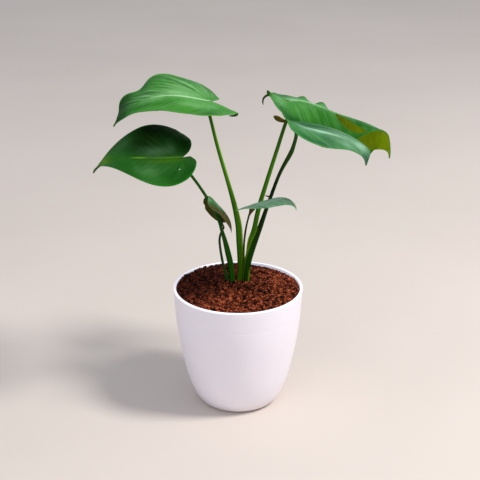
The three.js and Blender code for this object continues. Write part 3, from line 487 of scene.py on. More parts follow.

# Deep serves deeper green and painted shade, pale serves the veins and the painted sheen, and rib is partly
# a painted highlight. Leaf 6's pale main greens hold painted sky sheen, and leaf 3's bright olive back
# stands in for sunlight shining through the blade.
LEAF_LOOKS = {
    "leaf_1": {
        "deep": (4, 62, 0), "main": (42, 114, 32), "light": (60, 132, 40),
        "pale": (142, 194, 134), "warm": (58, 128, 6), "rib": (168, 208, 160),
        "edge": (70, 150, 30), "sheen_streaks": 0.6, "grooves": 0.8, "veins": 0.05, "gloss": 0.05,
        "back_deep": (8, 30, 0), "back": (20, 46, 2),
        "back_light": (34, 62, 4), "back_vein": (60, 90, 20),
    },
    "leaf_2": {
        "deep": (6, 26, 0), "main": (20, 76, 12), "light": (40, 96, 32),
        "pale": (96, 142, 92), "warm": (76, 122, 2), "rib": (96, 150, 40),
        "edge": (22, 112, 6), "sheen_streaks": 0.3, "grooves": 0.4, "veins": 0.015, "gloss": 0.06,
        "back_deep": (16, 44, 4), "back": (30, 64, 10),
        "back_light": (44, 80, 16), "back_vein": (80, 116, 40),
    },
    "leaf_3": {
        "deep": (0, 66, 0), "main": (38, 102, 26), "light": (54, 122, 34),
        "pale": (142, 192, 146), "warm": (84, 112, 0), "rib": (140, 188, 140),
        "edge": (50, 136, 40), "sheen_streaks": 0.2, "grooves": 0.3, "veins": 0.03, "gloss": 0.05,
        "back_deep": (76, 96, 0), "back": (126, 152, 0),
        "back_light": (142, 172, 0), "back_vein": (160, 188, 20),
    },
    "leaf_4": {
        "deep": (8, 70, 34), "main": (34, 94, 34), "light": (56, 118, 60),
        "pale": (164, 204, 178), "warm": (50, 128, 36), "rib": (166, 204, 172),
        "edge": (50, 140, 50), "sheen_streaks": 0.35, "grooves": 0.4, "veins": 0.04, "gloss": 0.07,
        "back_deep": (40, 40, 0), "back": (74, 66, 4),
        "back_light": (96, 80, 10), "back_vein": (110, 100, 30),
    },
    "leaf_5": {
        "deep": (30, 50, 2), "main": (40, 100, 48), "light": (66, 132, 74),
        "pale": (140, 184, 136), "warm": (104, 70, 8), "rib": (140, 160, 120),
        "edge": (120, 168, 110), "sheen_streaks": 0.4, "grooves": 0.4, "veins": 0.05, "gloss": 0.1,
        "back_deep": (16, 26, 0), "back": (44, 56, 6),
        "back_light": (64, 66, 6), "back_vein": (96, 84, 20),
    },
    "leaf_6": {
        "deep": (20, 100, 40), "main": (122, 196, 126), "light": (150, 214, 154),
        "pale": (190, 216, 200), "warm": (60, 180, 30), "rib": (190, 214, 196),
        "edge": (60, 150, 70), "sheen_streaks": 0.7, "grooves": 0.8, "veins": 0.05, "gloss": 0.12,
        "back_deep": (24, 50, 8), "back": (40, 72, 16),
        "back_light": (56, 92, 24), "back_vein": (100, 130, 60),
    },
}
CURL_LOOKS = {
    "leaf_1_lobe_end": {"dull": (14, 46, 0), "brown": (26, 62, 0), "slot": "leaf_bright"},
    "leaf_3_lobe_knob": {"dull": (14, 50, 0), "brown": (46, 90, 16), "slot": "leaf_bright"},
    "leaf_3_lobe_hook": {"dull": (24, 72, 8), "brown": (14, 48, 0), "slot": "leaf_bright"},
    "leaf_4_lobe_end": {"dull": (34, 56, 0), "brown": (84, 62, 0), "slot": "leaf_old"},
    "stalk_c_stub": {"dull": (20, 16, 2), "brown": (48, 32, 6), "slot": "stalk_dark"},
    "stalk_f_flare": {"dull": (84, 60, 6), "brown": (60, 58, 6), "slot": "stalk_dark"},
}


# Curves

def chord_spline(points):
    """Smooth curve through points whose parameters run by chord length."""
    points = np.array(points, float)
    steps = np.linalg.norm(np.diff(points, axis=0), axis=1)
    at = np.concatenate([[0], np.cumsum(steps)])
    at /= at[-1]
    last = len(points) - 1

    def curve(share):
        i = 0
        while i < last - 1 and at[i + 1] < share:
            i += 1
        h = at[i + 1] - at[i]
        t = (share - at[i]) / h
        p1, p2 = points[i], points[i + 1]
        m1 = (p2 - points[i - 1]) / (at[i + 1] - at[i - 1]) * h if i > 0 else p2 - p1
        m2 = (points[i + 2] - p1) / (at[i + 2] - at[i]) * h if i + 2 <= last else p2 - p1
        return (
            (2 * t**3 - 3 * t**2 + 1) * p1 + (t**3 - 2 * t**2 + t) * m1
            + (3 * t**2 - 2 * t**3) * p2 + (t**3 - t**2) * m2
        )

    return curve


def smooth_step(low, high, value):
    t = np.clip((value - low) / (high - low), 0, 1)
    return t * t * (3 - 2 * t)


def along(triple, x):
    """A value given at the base, middle and tip, read at shares x of the length."""
    base, middle, tip = triple
    return base + (-3 * base + 4 * middle - tip) * x + (2 * base - 4 * middle + 2 * tip) * x * x


# Surface of a leaf

def blade_frame(leaf, x):
    """Directions of the midrib at shares x: along it, to its left and up from the leaf."""
    ahead, behind = np.maximum(x, 0), np.minimum(x, 0)
    head = np.radians(along(leaf["head"], ahead + LOBE_TURN * behind))
    a, b, c, d = leaf["pitch"]
    u = ahead * 3
    pitch = (
        -a * (u - 1) * (u - 2) * (u - 3) / 6 + b * u * (u - 2) * (u - 3) / 2
        - c * u * (u - 1) * (u - 3) / 2 + d * u * (u - 1) * (u - 2) / 6
    )
    start, run, turn = leaf.get("droop", NO_DROOP)
    pitch = pitch - turn * smooth_step(start, start + run, x) - leaf["lobe_pitch"] * behind / LOBE_REACH
    pitch = np.radians(pitch)
    roll = np.radians(along(leaf["roll"], x))[..., None]
    forward = np.stack(
        [np.cos(pitch) * np.cos(head), np.cos(pitch) * np.sin(head), np.sin(pitch)], -1)
    level = np.stack([-np.sin(head), np.cos(head), np.zeros_like(head)], -1)
    upright = np.cross(forward, level)
    left = level * np.cos(roll) + upright * np.sin(roll)
    up = upright * np.cos(roll) - level * np.sin(roll)
    return forward, left, up


def midrib(leaf):
    """The midrib as a function of x, found by walking along it."""
    step = (SPINE_END - SPINE_START) / SPINE_STEPS
    middles = SPINE_START + (np.arange(SPINE_STEPS) + 0.5) * step
    forward, _, _ = blade_frame(leaf, middles)
    walked = np.vstack([np.zeros(3), np.cumsum(forward * step * leaf["length"], axis=0)])
    knots = SPINE_START + np.arange(SPINE_STEPS + 1) * step

    def at(x):
        return np.stack([np.interp(x, knots, walked[:, k]) for k in range(3)], -1)

    shift = np.array(leaf["base"], float) - at(np.array(0.0))
    return lambda x: at(x) + shift


def blade_points(leaf, rib, half, side, x, q):
    """Points of one half: x along in shares of the length, q across in shares of the width."""
    _, left, up = blade_frame(leaf, x)
    bend = np.clip(x, -0.1, 1)
    fold = np.radians(along(half["fold"], bend))
    curl = np.radians(along(half["curl"], bend))
    out = np.zeros_like(x)
    rise = np.zeros_like(x)
    for i in range(CROSS_STEPS):
        angle = fold + curl * q * (i + 0.5) / CROSS_STEPS
        out += np.cos(angle) * q * half["width"] / CROSS_STEPS
        rise += np.sin(angle) * q * half["width"] / CROSS_STEPS
    if "wave" in half:
        height, count, phase = half["wave"]
        rise += height * np.sin(2 * np.pi * (count * x + phase)) * q * q
    for middle, spread, crest, height in half.get("bumps", []):
        reach = (q / crest) ** 2
        rise += height * np.exp(-((x - middle) / spread) ** 2) * reach * np.exp(1 - reach)
    return rib(x) + left * (side * out)[..., None] + up * rise[..., None]


def half_grid(leaf, half):
    """x and q of one half, rows along the margin and columns from the midrib out, and t."""
    rows = np.linspace(0, 1, leaf["rows"] + 1)
    edge = chord_spline(HEART)
    margin = np.array([edge(share) for share in rows])
    edge_x = np.where(margin[:, 0] < 0, margin[:, 0] * half["lobe"], margin[:, 0])
    edge_q = margin[:, 1]
    middle, spread, pull = half.get("cheek", NO_CHEEK)
    edge_q = edge_q - pull * np.exp(-((rows - middle) / spread) ** 2)
    for middle, spread, gain in half.get("broad", []):
        edge_q = edge_q + margin[:, 1] * gain * np.exp(-((edge_x - middle) / spread) ** 2)
    t = np.linspace(0, 1, leaf["columns"] + 1)
    x = (rows**RIB_BUNCHING)[:, None] * (1 - t) + edge_x[:, None] * t
    return x, edge_q[:, None] * t, t + 0 * rows[:, None]


def hole_outline(hole, samples=48):
    inner, outer = chord_spline(hole["inner"]), chord_spline(hole["outer"])
    shares = np.linspace(0, 1, samples)
    back = [outer(share) for share in shares[::-1]]
    return np.array([inner(share) for share in shares] + back[1:-1])


def nearest_on(points, polygon):
    """Nearest place on a closed polygon for each point."""
    ends = np.roll(polygon, -1, axis=0) - polygon
    t = ((points[:, None] - polygon) * ends).sum(-1) / np.maximum((ends * ends).sum(-1), 1e-12)
    near = polygon + np.clip(t, 0, 1)[..., None] * ends
    best = np.linalg.norm(points[:, None] - near, axis=-1).argmin(1)
    return near[np.arange(len(points)), best]


def inside_polygon(points, polygon):
    x, y = points[:, 0], points[:, 1]
    inside = np.zeros(len(points), bool)
    for (x1, y1), (x2, y2) in zip(polygon, np.roll(polygon, -1, axis=0)):
        crosses = (y1 > y) != (y2 > y)
        at = (x2 - x1) * (y - y1) / np.where(y2 == y1, 1e-12, y2 - y1) + x1
        inside ^= crosses & (x < at)
    return inside


def open_hole(leaf, half, x, q):
    """Moves grid points onto the rim of the hole. Returns what lies in it, its rim included."""
    outline = hole_outline(leaf["hole"])
    flat = np.stack([x * leaf["length"], q * half["width"]], -1)
    inside = inside_polygon(flat.reshape(-1, 2), outline).reshape(x.shape)
    padded = np.pad(inside, 1)
    by_rim = np.zeros_like(inside)
    for i in (0, 1, 2):
        for j in (0, 1, 2):
            by_rim |= ~padded[i:i + x.shape[0], j:j + x.shape[1]]
    rim = inside & by_rim
    flat[rim] = nearest_on(flat[rim], outline)
    return flat[..., 0] / leaf["length"], flat[..., 1] / half["width"], inside


def vein_phase(leaf, slant, half, x, q):
    """Where the side vein through a spot leaves the midrib, in millimetres from the base."""
    out = q * half["width"]
    straight = x * leaf["length"] - VEIN_BEND * out * q
    start = straight - slant * out
    fan = (math.atan2(1, slant) - np.arctan2(out, straight)) * VEIN_FAN
    return np.where(start > 0, start, fan)


def blade_relief(name, leaf, phase, t, x, out):
    """Height of the soft swelling between side veins, in millimetres."""
    swell = np.abs(np.sin(np.pi * phase / (VEIN_SPACING * leaf["length"]))) ** 0.7
    fade = smooth_step(0.02, 0.2, t) * (1 - smooth_step(0.8, 1, t))
    lengthwise = np.sin(x * 23 + out * 0.21)
    crosswise = np.sin(out * 0.33 + 1.3 + x * 9)
    ripple = lengthwise * crosswise * smooth_step(0.1, 0.6, t)
    return RELIEF[name] * leaf["length"] / 100 * (SWELL_HEIGHT * swell * fade + RIPPLE_HEIGHT * ripple)


def patch_value(spots, x, y):
    total = np.zeros_like(x)
    for at_x, at_y, reach_x, reach_y, strength in spots:
        total += strength * np.exp(-((x - at_x) / reach_x) ** 2 - ((y - at_y) / reach_y) ** 2)
    return np.clip(total, 0, 1)


def blade_sheet(name, leaf):
    """The blade as one sheet without thickness: points, faces and what is known at each point."""
    rib = midrib(leaf)
    rows, columns = leaf["rows"] + 1, leaf["columns"] + 1
    known = {key: [] for key in ("point", "up", "spread", "x", "y", "phase", "t", "out")}
    faces = []
    count = 0
    rib_ids = None
    for half_name, side in (("left", 1), ("right", -1)):
        half = leaf[half_name]
        x, q, t = half_grid(leaf, half)
        inside = np.zeros(x.shape, bool)
        if "hole" in leaf and leaf["hole"]["half"] == half_name:
            x, q, inside = open_hole(leaf, half, x, q)
        spots = blade_points(leaf, rib, half, side, x, q)
        ahead = blade_points(leaf, rib, half, side, x + FACE_STEP, q) - spots
        across = blade_points(leaf, rib, half, side, x, q + FACE_STEP) - spots
        normal = np.cross(ahead, across) * side
        normal /= np.maximum(np.linalg.norm(normal, axis=-1, keepdims=True), 1e-9)
        out = q * half["width"]
        spread = out[:, -1:] + 0 * out
        phase = vein_phase(leaf, VEIN_SLANT[name], half, x, q)
        lift = blade_relief(name, leaf, phase, t, x, out) * np.clip(spread / 12, 0, 1)
        values = {
            "point": spots + normal * lift[..., None], "up": blade_frame(leaf, x)[2], "spread": spread,
            "x": x, "y": side * q, "phase": phase, "t": side * t, "out": side * out,
        }
        ids = count + np.arange(rows * columns).reshape(rows, columns)
        count += rows * columns
        for key, value in values.items():
            known[key].append(value.reshape(rows * columns, *value.shape[2:]))
        if rib_ids is None:
            rib_ids = ids[:, 0].copy()
        ids[:, 0] = rib_ids
        ids[0, :] = rib_ids[0]
        ids[-1, :] = rib_ids[-1]
        for r in range(rows - 1):
            for c in range(columns - 1):
                if inside[r:r + 2, c:c + 2].all():
                    continue
                corners = [ids[r, c], ids[r + 1, c], ids[r + 1, c + 1], ids[r, c + 1]]
                face = [int(v) for v in dict.fromkeys(corners if side > 0 else corners[::-1])]
                if len(face) > 2:
                    faces.append(face)
    known = {key: np.concatenate(value) for key, value in known.items()}
    used = np.unique(np.concatenate([np.array(face) for face in faces]))
    renumber = np.zeros(count, int)
    renumber[used] = np.arange(len(used))
    known = {key: value[used] for key, value in known.items()}
    faces = [[int(renumber[v]) for v in face] for face in faces]
    for kind in PATCH_KINDS:
        known[kind] = patch_value(PATCHES[name][kind], known["x"], known["y"])
    return faces, known


def sheet_normals(points, faces, ups, spread):
    """Normals of the sheet, turned to the leaf's own up where a tip is too narrow to say."""
    normals = np.zeros_like(points)
    for face in faces:
        p = points[face]
        first, second = (p[2] - p[0], p[-1] - p[1]) if len(face) == 4 else (p[1] - p[0], p[2] - p[0])
        normals[face] += np.cross(first, second)
    normals /= np.maximum(np.linalg.norm(normals, axis=1, keepdims=True), 1e-9)
    narrow = np.clip(1 - spread / NARROW_TIP, 0, 1)[:, None]
    normals = normals * (1 - narrow) + ups * narrow
    return normals / np.linalg.norm(normals, axis=1, keepdims=True)


def blade_mesh(name, leaf):
    """Both faces of a blade and its rim, with a groove above the midrib and a keel below."""
    faces, known = blade_sheet(name, leaf)
    points = known["point"]
    normals = sheet_normals(points, faces, known["up"], known["spread"])
    out = np.abs(known["out"])
    section = SMALL_SECTION if leaf["length"] < SMALL_LEAF else LARGE_SECTION
    keel, groove = (
        height * np.exp(-(out / reach) ** 2) for height, reach in (section["keel"], section["groove"]))
    top = points + normals * (section["half"] - groove)[:, None]
    under = points - normals * (section["half"] + keel)[:, None]
    count = len(points)
    polygons = faces + [[v + count for v in reversed(face)] for face in faces]
    kinds = [0] * len(faces) + [1] * len(faces)
    open_edges = {}
    for face in faces:
        for a, b in zip(face, face[1:] + face[:1]):
            if (b, a) in open_edges:
                del open_edges[(b, a)]
            else:
                open_edges[(a, b)] = True
    for a, b in open_edges:
        polygons.append([b, a, a + count, b + count])
        kinds.append(2)
    mesh = new_mesh(name + "_blade", np.vstack([top, under]), polygons, SHARP_ANGLE)
    corner_points = np.empty(len(mesh.loops), np.int32)
    mesh.loops.foreach_get("vertex_index", corner_points)
    corner_points %= count
    veins = np.stack([known["phase"] / 100, known["t"]], -1)
    size = np.stack([known["x"] * leaf["length"] / 100, known["out"] / 100], -1)
    for map_name, values in (("Veins", veins), ("Size", size)):
        layer = mesh.uv_layers.new(name=map_name)
        layer.data.foreach_set("uv", values[corner_points].ravel())
    for kind in PATCH_KINDS:
        add_values(mesh, kind, np.tile(known[kind], 2))
    mesh.polygons.foreach_set("material_index", kinds)
    return mesh


# Meshes and pieces

def new_mesh(name, points, faces, sharp_angle):
    """Smooth shaded mesh over points in millimetres, creased where faces meet more sharply."""
    mesh = bpy.data.meshes.new(name)
    mesh.from_pydata((points * MM).tolist(), [], faces)
    mesh.shade_smooth()
    mesh.set_sharp_from_angle(angle=math.radians(sharp_angle))
    return mesh


def ring_mesh(name, rings, sharp_angle=SHARP_ANGLE):
    """Closed skin over rings of equal counts, each an array of points in millimetres."""
    rings = [np.asarray(ring, float) for ring in rings]
    sides = len(rings[0])
    polygons = []
    for i in range(len(rings) - 1):
        for k in range(sides):
            a, b = i * sides + k, i * sides + (k + 1) % sides
            polygons.append([a, b, b + sides, a + sides])
    polygons.append(list(reversed(range(sides))))
    polygons.append([(len(rings) - 1) * sides + k for k in range(sides)])
    return new_mesh(name, np.vstack(rings), polygons, sharp_angle)


def tube_rings(stations, sides):
    """Rings round a route of centres with two half widths, the first square to the way back."""
    rings = []
    angles = np.arange(sides) * 2 * math.pi / sides
    for i, (centre, wide, deep) in enumerate(stations):
        before = stations[max(0, i - 1)][0]
        after = stations[min(len(stations) - 1, i + 1)][0]
        ahead = (after - before) / np.linalg.norm(after - before)
        across = np.cross((0, 1, 0), ahead)
        across /= np.linalg.norm(across)
        back = np.cross(ahead, across)
        ring = centre + np.outer(np.cos(angles) * wide, across) + np.outer(np.sin(angles) * deep, back)
        rings.append(ring)
    return rings, angles


def new_object(name, data):
    made = bpy.data.objects.new(name, data)
    bpy.context.scene.collection.objects.link(made)
    return made


def add_piece(name, mesh, materials, replaced=()):
    """A piece of the plant, riding on its only body, in place of the nodes that it replaces."""
    piece = new_object(name, mesh)
    for material in materials:
        mesh.materials.append(material)
    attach(piece, "root")
    if replaced:
        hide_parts(*replaced)
    return piece


def add_values(mesh, name, values):
    mesh.attributes.new(name, "FLOAT", "POINT").data.foreach_set("value", np.asarray(values, float))


# Shader helpers

def tone(red, green, blue):
    """Linear colour from display values between 0 and 255."""
    shares = np.array([red, green, blue]) / 255
    linear = np.where(shares <= 0.04045, shares / 12.92, ((shares + 0.055) / 1.055) ** 2.4)
    return tuple(float(v) for v in linear)


def toned(look):
    """A look with its display colours made linear."""
    return {key: tone(*value) if isinstance(value, tuple) else value for key, value in look.items()}


def set_socket(tree, socket, value):
    if isinstance(value, bpy.types.NodeSocket):
        tree.links.new(value, socket)
    elif isinstance(value, tuple) and socket.type == "RGBA":
        socket.default_value = (*value, 1)
    else:
        socket.default_value = value


def new_node(tree, kind, values=None, **settings):
    made = tree.nodes.new(kind)
    for key, value in settings.items():
        setattr(made, key, value)
    for key, value in (values or {}).items():
        set_socket(tree, made.inputs[key], value)
    return made


def maths(tree, operation, *values):
    made = new_node(tree, "ShaderNodeMath", dict(enumerate(values)), operation=operation)
    return made.outputs[0]


def times(tree, first, second):
    return maths(tree, "MULTIPLY", first, second)


def ramp(tree, value, low, high):
    """Smooth step of a value from low to high."""
    made = new_node(
        tree, "ShaderNodeMapRange", {0: value, 1: low, 2: high}, interpolation_type="SMOOTHSTEP")
    return made.outputs[0]


def mixed(tree, factor, first, second):
    made = new_node(tree, "ShaderNodeMix", {0: factor, 6: first, 7: second}, data_type="RGBA")
    return made.outputs[2]


def tinted(tree, colour, mask, share, other):
    """The colour turned to another one where a mask says, by up to a share."""
    return mixed(tree, times(tree, mask, share), colour, other)


def noise(tree, place, scale, detail):
    made = new_node(tree, "ShaderNodeTexNoise", {"Vector": place, "Scale": scale, "Detail": detail})
    return made.outputs["Fac"]


def value_of(tree, name):
    return new_node(tree, "ShaderNodeAttribute", attribute_name=name).outputs["Fac"]


def place_of(tree):
    return new_node(tree, "ShaderNodeTexCoord").outputs["Object"]


def new_group(name, inputs, outputs):
    group = bpy.data.node_groups.new(name, "ShaderNodeTree")
    for label, kind, default in inputs:
        socket = group.interface.new_socket(name=label, in_out="INPUT", socket_type=kind)
        if default is not None:
            socket.default_value = default
    for label in outputs:
        group.interface.new_socket(name=label, in_out="OUTPUT", socket_type="NodeSocketFloat")
    return group, group.nodes.new("NodeGroupInput").outputs, group.nodes.new("NodeGroupOutput").inputs


def put_masks(group, wanted, masks):
    for label, (value, low, high) in masks.items():
        group.links.new(ramp(group, value, low, high), wanted[label])


def use_group(tree, group, values):
    made = tree.nodes.new("ShaderNodeGroup")
    made.node_tree = group
    for key, value in values.items():
        set_socket(tree, made.inputs[key], value)
    return made.outputs


def new_material(name, roughness, specular):
    material = bpy.data.materials.new(name)
    material.use_nodes = True
    tree = material.node_tree
    tree.nodes.clear()
    shader = tree.nodes.new("ShaderNodeBsdfPrincipled")
    shader.inputs["Roughness"].default_value = roughness
    shader.inputs["Specular IOR Level"].default_value = specular
    output = tree.nodes.new("ShaderNodeOutputMaterial")
    tree.links.new(shader.outputs[0], output.inputs[0])
    return material, tree, shader


def put_colour(tree, shader, colour):
    tree.links.new(colour, shader.inputs["Base Color"])


def put_roughness(tree, shader, specks, gain, least):
    """Roughness that grows with specks or patches from its least."""
    tree.links.new(maths(tree, "MULTIPLY_ADD", specks, gain, least), shader.inputs["Roughness"])


def put_bump(tree, shader, height, strength, distance):
    bump = new_node(tree, "ShaderNodeBump", {"Strength": strength, "Distance": distance, "Height": height})
    tree.links.new(bump.outputs[0], shader.inputs["Normal"])


# Effects shared by materials

def vein_group():
    """Veins of a blade from its two maps: side veins, fine veins, midrib, streaks and margin."""
    group, given, wanted = new_group(
        "Leaf veins",
        [("Veins", "NodeSocketVector", None), ("Size", "NodeSocketVector", None),
         ("Side Veins", "NodeSocketFloat", 12.0)],
        ["Side", "Fine", "Midrib", "Streaks", "Grooves", "Margin"],
    )
    split = new_node(group, "ShaderNodeSeparateXYZ", {0: given["Veins"]})
    size = new_node(group, "ShaderNodeSeparateXYZ", {0: given["Size"]})
    t = maths(group, "ABSOLUTE", split.outputs[1])
    wobble = maths(group, "MULTIPLY_ADD", noise(group, given["Size"], 7.0, 2.0), 0.02, -0.01)
    line = times(group, maths(group, "ADD", split.outputs[0], wobble), given["Side Veins"])
    near_side = maths(group, "PINGPONG", line, 0.5)
    width = maths(group, "MULTIPLY_ADD", t, -0.07, 0.11)
    near_fine = maths(group, "PINGPONG", times(group, line, 6.0), 0.5)
    across = maths(group, "ABSOLUTE", size.outputs[1])
    put_masks(group, wanted, {
        "Side": (near_side, width, 0.0), "Fine": (near_fine, 0.3, 0.0),
        "Midrib": (across, 0.013, 0.004), "Margin": (t, 0.935, 0.975),
    })
    for label, often, low, high in STREAK_LINES:
        drawn = new_node(group, "ShaderNodeCombineXYZ", {
            0: times(group, line, often),
            1: times(group, split.outputs[1], 1.3),
            2: often,
        })
        put_masks(group, wanted, {label: (noise(group, drawn.outputs[0], 1.0, 3.0), low, high)})
    return group


def mottle_group():
    """Soft patches and fine specks over any surface, from its place."""
    group, given, wanted = new_group(
        "Mottle",
        [("Place", "NodeSocketVector", None), ("Patch Scale", "NodeSocketFloat", 60.0),
         ("Speck Scale", "NodeSocketFloat", 900.0)],
        ["Patches", "Specks"],
    )
    patch = noise(group, given["Place"], given["Patch Scale"], 4.0)
    speck = noise(group, given["Place"], given["Speck Scale"], 2.0)
    put_masks(group, wanted, {"Patches": (patch, 0.3, 0.7), "Specks": (speck, 0.35, 0.65)})
    return group


def skin_group():
    """Lengthwise lines of a stalk's skin, from its place."""
    group, given, wanted = new_group("Stalk skin", [("Place", "NodeSocketVector", None)], ["Lines"])
    drawn = new_node(
        group, "ShaderNodeVectorMath", {0: given["Place"], 1: (1, 1, 0.03)}, operation="MULTIPLY")
    put_masks(group, wanted, {"Lines": (noise(group, drawn.outputs[0], 1400.0, 2.0), 0.4, 0.65)})
    return group


VEINS = vein_group()
MOTTLE = mottle_group()
SKIN = skin_group()


def veins_on(tree, leaf):
    return use_group(tree, VEINS, {
        "Veins": new_node(tree, "ShaderNodeUVMap", uv_map="Veins").outputs[0],
        "Size": new_node(tree, "ShaderNodeUVMap", uv_map="Size").outputs[0],
        "Side Veins": 100 / (VEIN_SPACING * leaf["length"]),
    })


def mottle_on(tree, patch_scale, speck_scale):
    return use_group(tree, MOTTLE, {
        "Place": place_of(tree), "Patch Scale": patch_scale, "Speck Scale": speck_scale})


def leaf_face_material(name, leaf, look):
    """Upper face: green in patches, deeper green and painted shade by place, and painted sheen in patches
    and in streaks along the veins.
    """
    material, tree, shader = new_material(name, roughness=0.42, specular=look["gloss"])
    veins = veins_on(tree, leaf)
    mottle = mottle_on(tree, patch_scale=45.0, speck_scale=1100.0)
    dark, pale, warm, rib, lines = (value_of(tree, kind) for kind in PATCH_KINDS)
    colour = tinted(tree, look["main"], mottle["Patches"], 0.7, look["light"])
    colour = tinted(tree, colour, warm, 0.8, look["warm"])
    # Dark patches: deeper green, and painted shade where other leaves shadow this one.
    colour = tinted(tree, colour, dark, 0.95, look["deep"])
    grooves = times(tree, veins["Grooves"], lines)
    colour = tinted(tree, colour, grooves, look["grooves"], look["deep"])
    # Painted sheen: pale streaks along the veins and pale patches where the sky would reflect.
    sheen_streaks = times(tree, times(tree, veins["Streaks"], lines), look["sheen_streaks"])
    painted_sheen = times(tree, maths(tree, "MULTIPLY_ADD", mottle["Patches"], 0.6, 0.3), pale)
    colour = tinted(tree, colour, maths(tree, "MAXIMUM", sheen_streaks, painted_sheen), 0.9, look["pale"])
    colour = tinted(tree, colour, veins["Fine"], look["veins"], look["pale"])
    colour = tinted(tree, colour, veins["Side"], look["veins"] * 1.5, look["pale"])
    # The midrib's paler colour, with a painted highlight where its patches are strongest.
    colour = tinted(tree, colour, times(tree, veins["Midrib"], rib), 0.9, look["rib"])
    colour = tinted(tree, colour, veins["Margin"], 0.75, look["edge"])
    put_colour(tree, shader, colour)
    put_roughness(tree, shader, mottle["Specks"], 0.12, 0.38)
    height = maths(tree, "MULTIPLY_ADD", veins["Fine"], -0.35, times(tree, veins["Side"], -1.0))
    height = maths(tree, "MULTIPLY_ADD", mottle["Specks"], 0.15, height)
    put_bump(tree, shader, height, 0.4, 0.0003)
    return material


def leaf_back_material(name, leaf, look):
    """Lower face: duller, with raised veins."""
    material, tree, shader = new_material(name, roughness=0.55, specular=0.06)
    veins = veins_on(tree, leaf)
    mottle = mottle_on(tree, patch_scale=60.0, speck_scale=1300.0)
    colour = mixed(tree, mottle["Patches"], look["back"], look["back_light"])
    # Dark patches darken the back too: painted shade, as inside the fold of leaf 3.
    colour = tinted(tree, colour, value_of(tree, "dark"), 0.6, look["back_deep"])
    colour = tinted(tree, colour, veins["Streaks"], 0.3, look["back_light"])
    colour = tinted(tree, colour, veins["Fine"], 0.15, look["back_vein"])
    colour = tinted(tree, colour, veins["Side"], 0.5, look["back_vein"])
    colour = tinted(tree, colour, veins["Midrib"], 0.8, look["back_vein"])
    put_colour(tree, shader, colour)
    put_bump(tree, shader, maths(tree, "MULTIPLY_ADD", veins["Fine"], 0.3, veins["Side"]), 0.6, 0.0003)
    return material


def leaf_rim_material(name, look):
    """Cut edge of the blade, thin and yellower."""
    material, tree, shader = new_material(name, roughness=0.5, specular=0.1)
    mottle = mottle_on(tree, patch_scale=90.0, speck_scale=1500.0)
    put_colour(tree, shader, mixed(tree, mottle["Patches"], look["edge"], look["light"]))
    put_bump(tree, shader, mottle["Specks"], 0.2, 0.0002)
    return material


def stalk_material(name, look):
    """Smooth skin with fine lengthwise lines, yellower at its winged edges and in painted light on its lit
    side, darker in painted shade on the other side.
    """
    material, tree, shader = new_material(name, roughness=0.4, specular=0.07)
    place = place_of(tree)
    height = new_node(tree, "ShaderNodeSeparateXYZ", {0: place}).outputs[2]
    mottle = mottle_on(tree, patch_scale=90.0, speck_scale=1500.0)
    lines = use_group(tree, SKIN, {"Place": place})["Lines"]
    colour = mixed(tree, ramp(tree, height, 0.15, 0.19), look["low"], look["middle"])
    colour = mixed(tree, ramp(tree, height, 0.23, 0.29), colour, look["high"])
    colour = tinted(tree, colour, lines, 0.3, look["line"])
    colour = tinted(tree, colour, mottle["Patches"], 0.2, look["line"])
    # Painted light and shade: the bright edge colour above zero, the painted shade colour below zero.
    side = value_of(tree, "wing_and_painted_light")
    colour = tinted(tree, colour, ramp(tree, side, 0.0, 1.0), 0.9, look["wing_and_painted_light"])
    colour = tinted(tree, colour, ramp(tree, side, 0.0, -1.0), 0.9, look["deep"])
    put_colour(tree, shader, colour)
    put_bump(tree, shader, lines, 0.35, 0.0003)
    return material


def dried_material(name, look):
    """Dried or curled end of a leaf: brown and olive, wrinkled."""
    material, tree, shader = new_material(name, roughness=0.6, specular=0.08)
    mottle = mottle_on(tree, patch_scale=420.0, speck_scale=1500.0)
    put_colour(tree, shader, mixed(tree, mottle["Patches"], look["dull"], look["brown"]))
    put_bump(tree, shader, mottle["Patches"], 0.5, 0.0004)
    return material


def plastic_material():
    """Satin white plastic: faintly clouded, warmer and darker in specks toward the floor, with painted
    light glowing at the rim and inside it.
    """
    material, tree, shader = new_material("white plastic", roughness=0.4, specular=0.45)
    mottle = mottle_on(tree, patch_scale=14.0, speck_scale=2600.0)
    height = new_node(tree, "ShaderNodeSeparateXYZ", {0: place_of(tree)}).outputs[2]
    look = toned(PLASTIC_LOOK)
    colour = mixed(tree, mottle["Patches"], look["shade"], look["clear"])
    # Warmer, darker specks toward the floor.
    foot_specks = times(tree, ramp(tree, height, FOOT_SPECK_HEIGHT, 0.0), mottle["Specks"])
    colour = tinted(tree, colour, foot_specks, 0.5, look["foot_specks"])
    put_colour(tree, shader, colour)
    put_roughness(tree, shader, mottle["Patches"], 0.08, 0.36)
    put_bump(tree, shader, mottle["Specks"], 0.1, 0.0002)
    # Painted light: a glow on the inner wall and on the rim top.
    flat = new_node(tree, "ShaderNodeVectorMath", {0: place_of(tree), 1: (1, 1, 0)}, operation="MULTIPLY")
    out = new_node(tree, "ShaderNodeVectorMath", {0: flat.outputs[0]}, operation="LENGTH").outputs["Value"]
    inside = times(tree, ramp(tree, out, *INNER_WALL), ramp(tree, height, *INNER_BAND))
    lit = maths(tree, "MAXIMUM", inside, ramp(tree, height, *RIM_TOP))
    tree.links.new(mixed(tree, lit, (0, 0, 0), look["painted_glow"]), shader.inputs["Emission Color"])
    shader.inputs["Emission Strength"].default_value = PAINTED_GLOW_STRENGTH
    return material


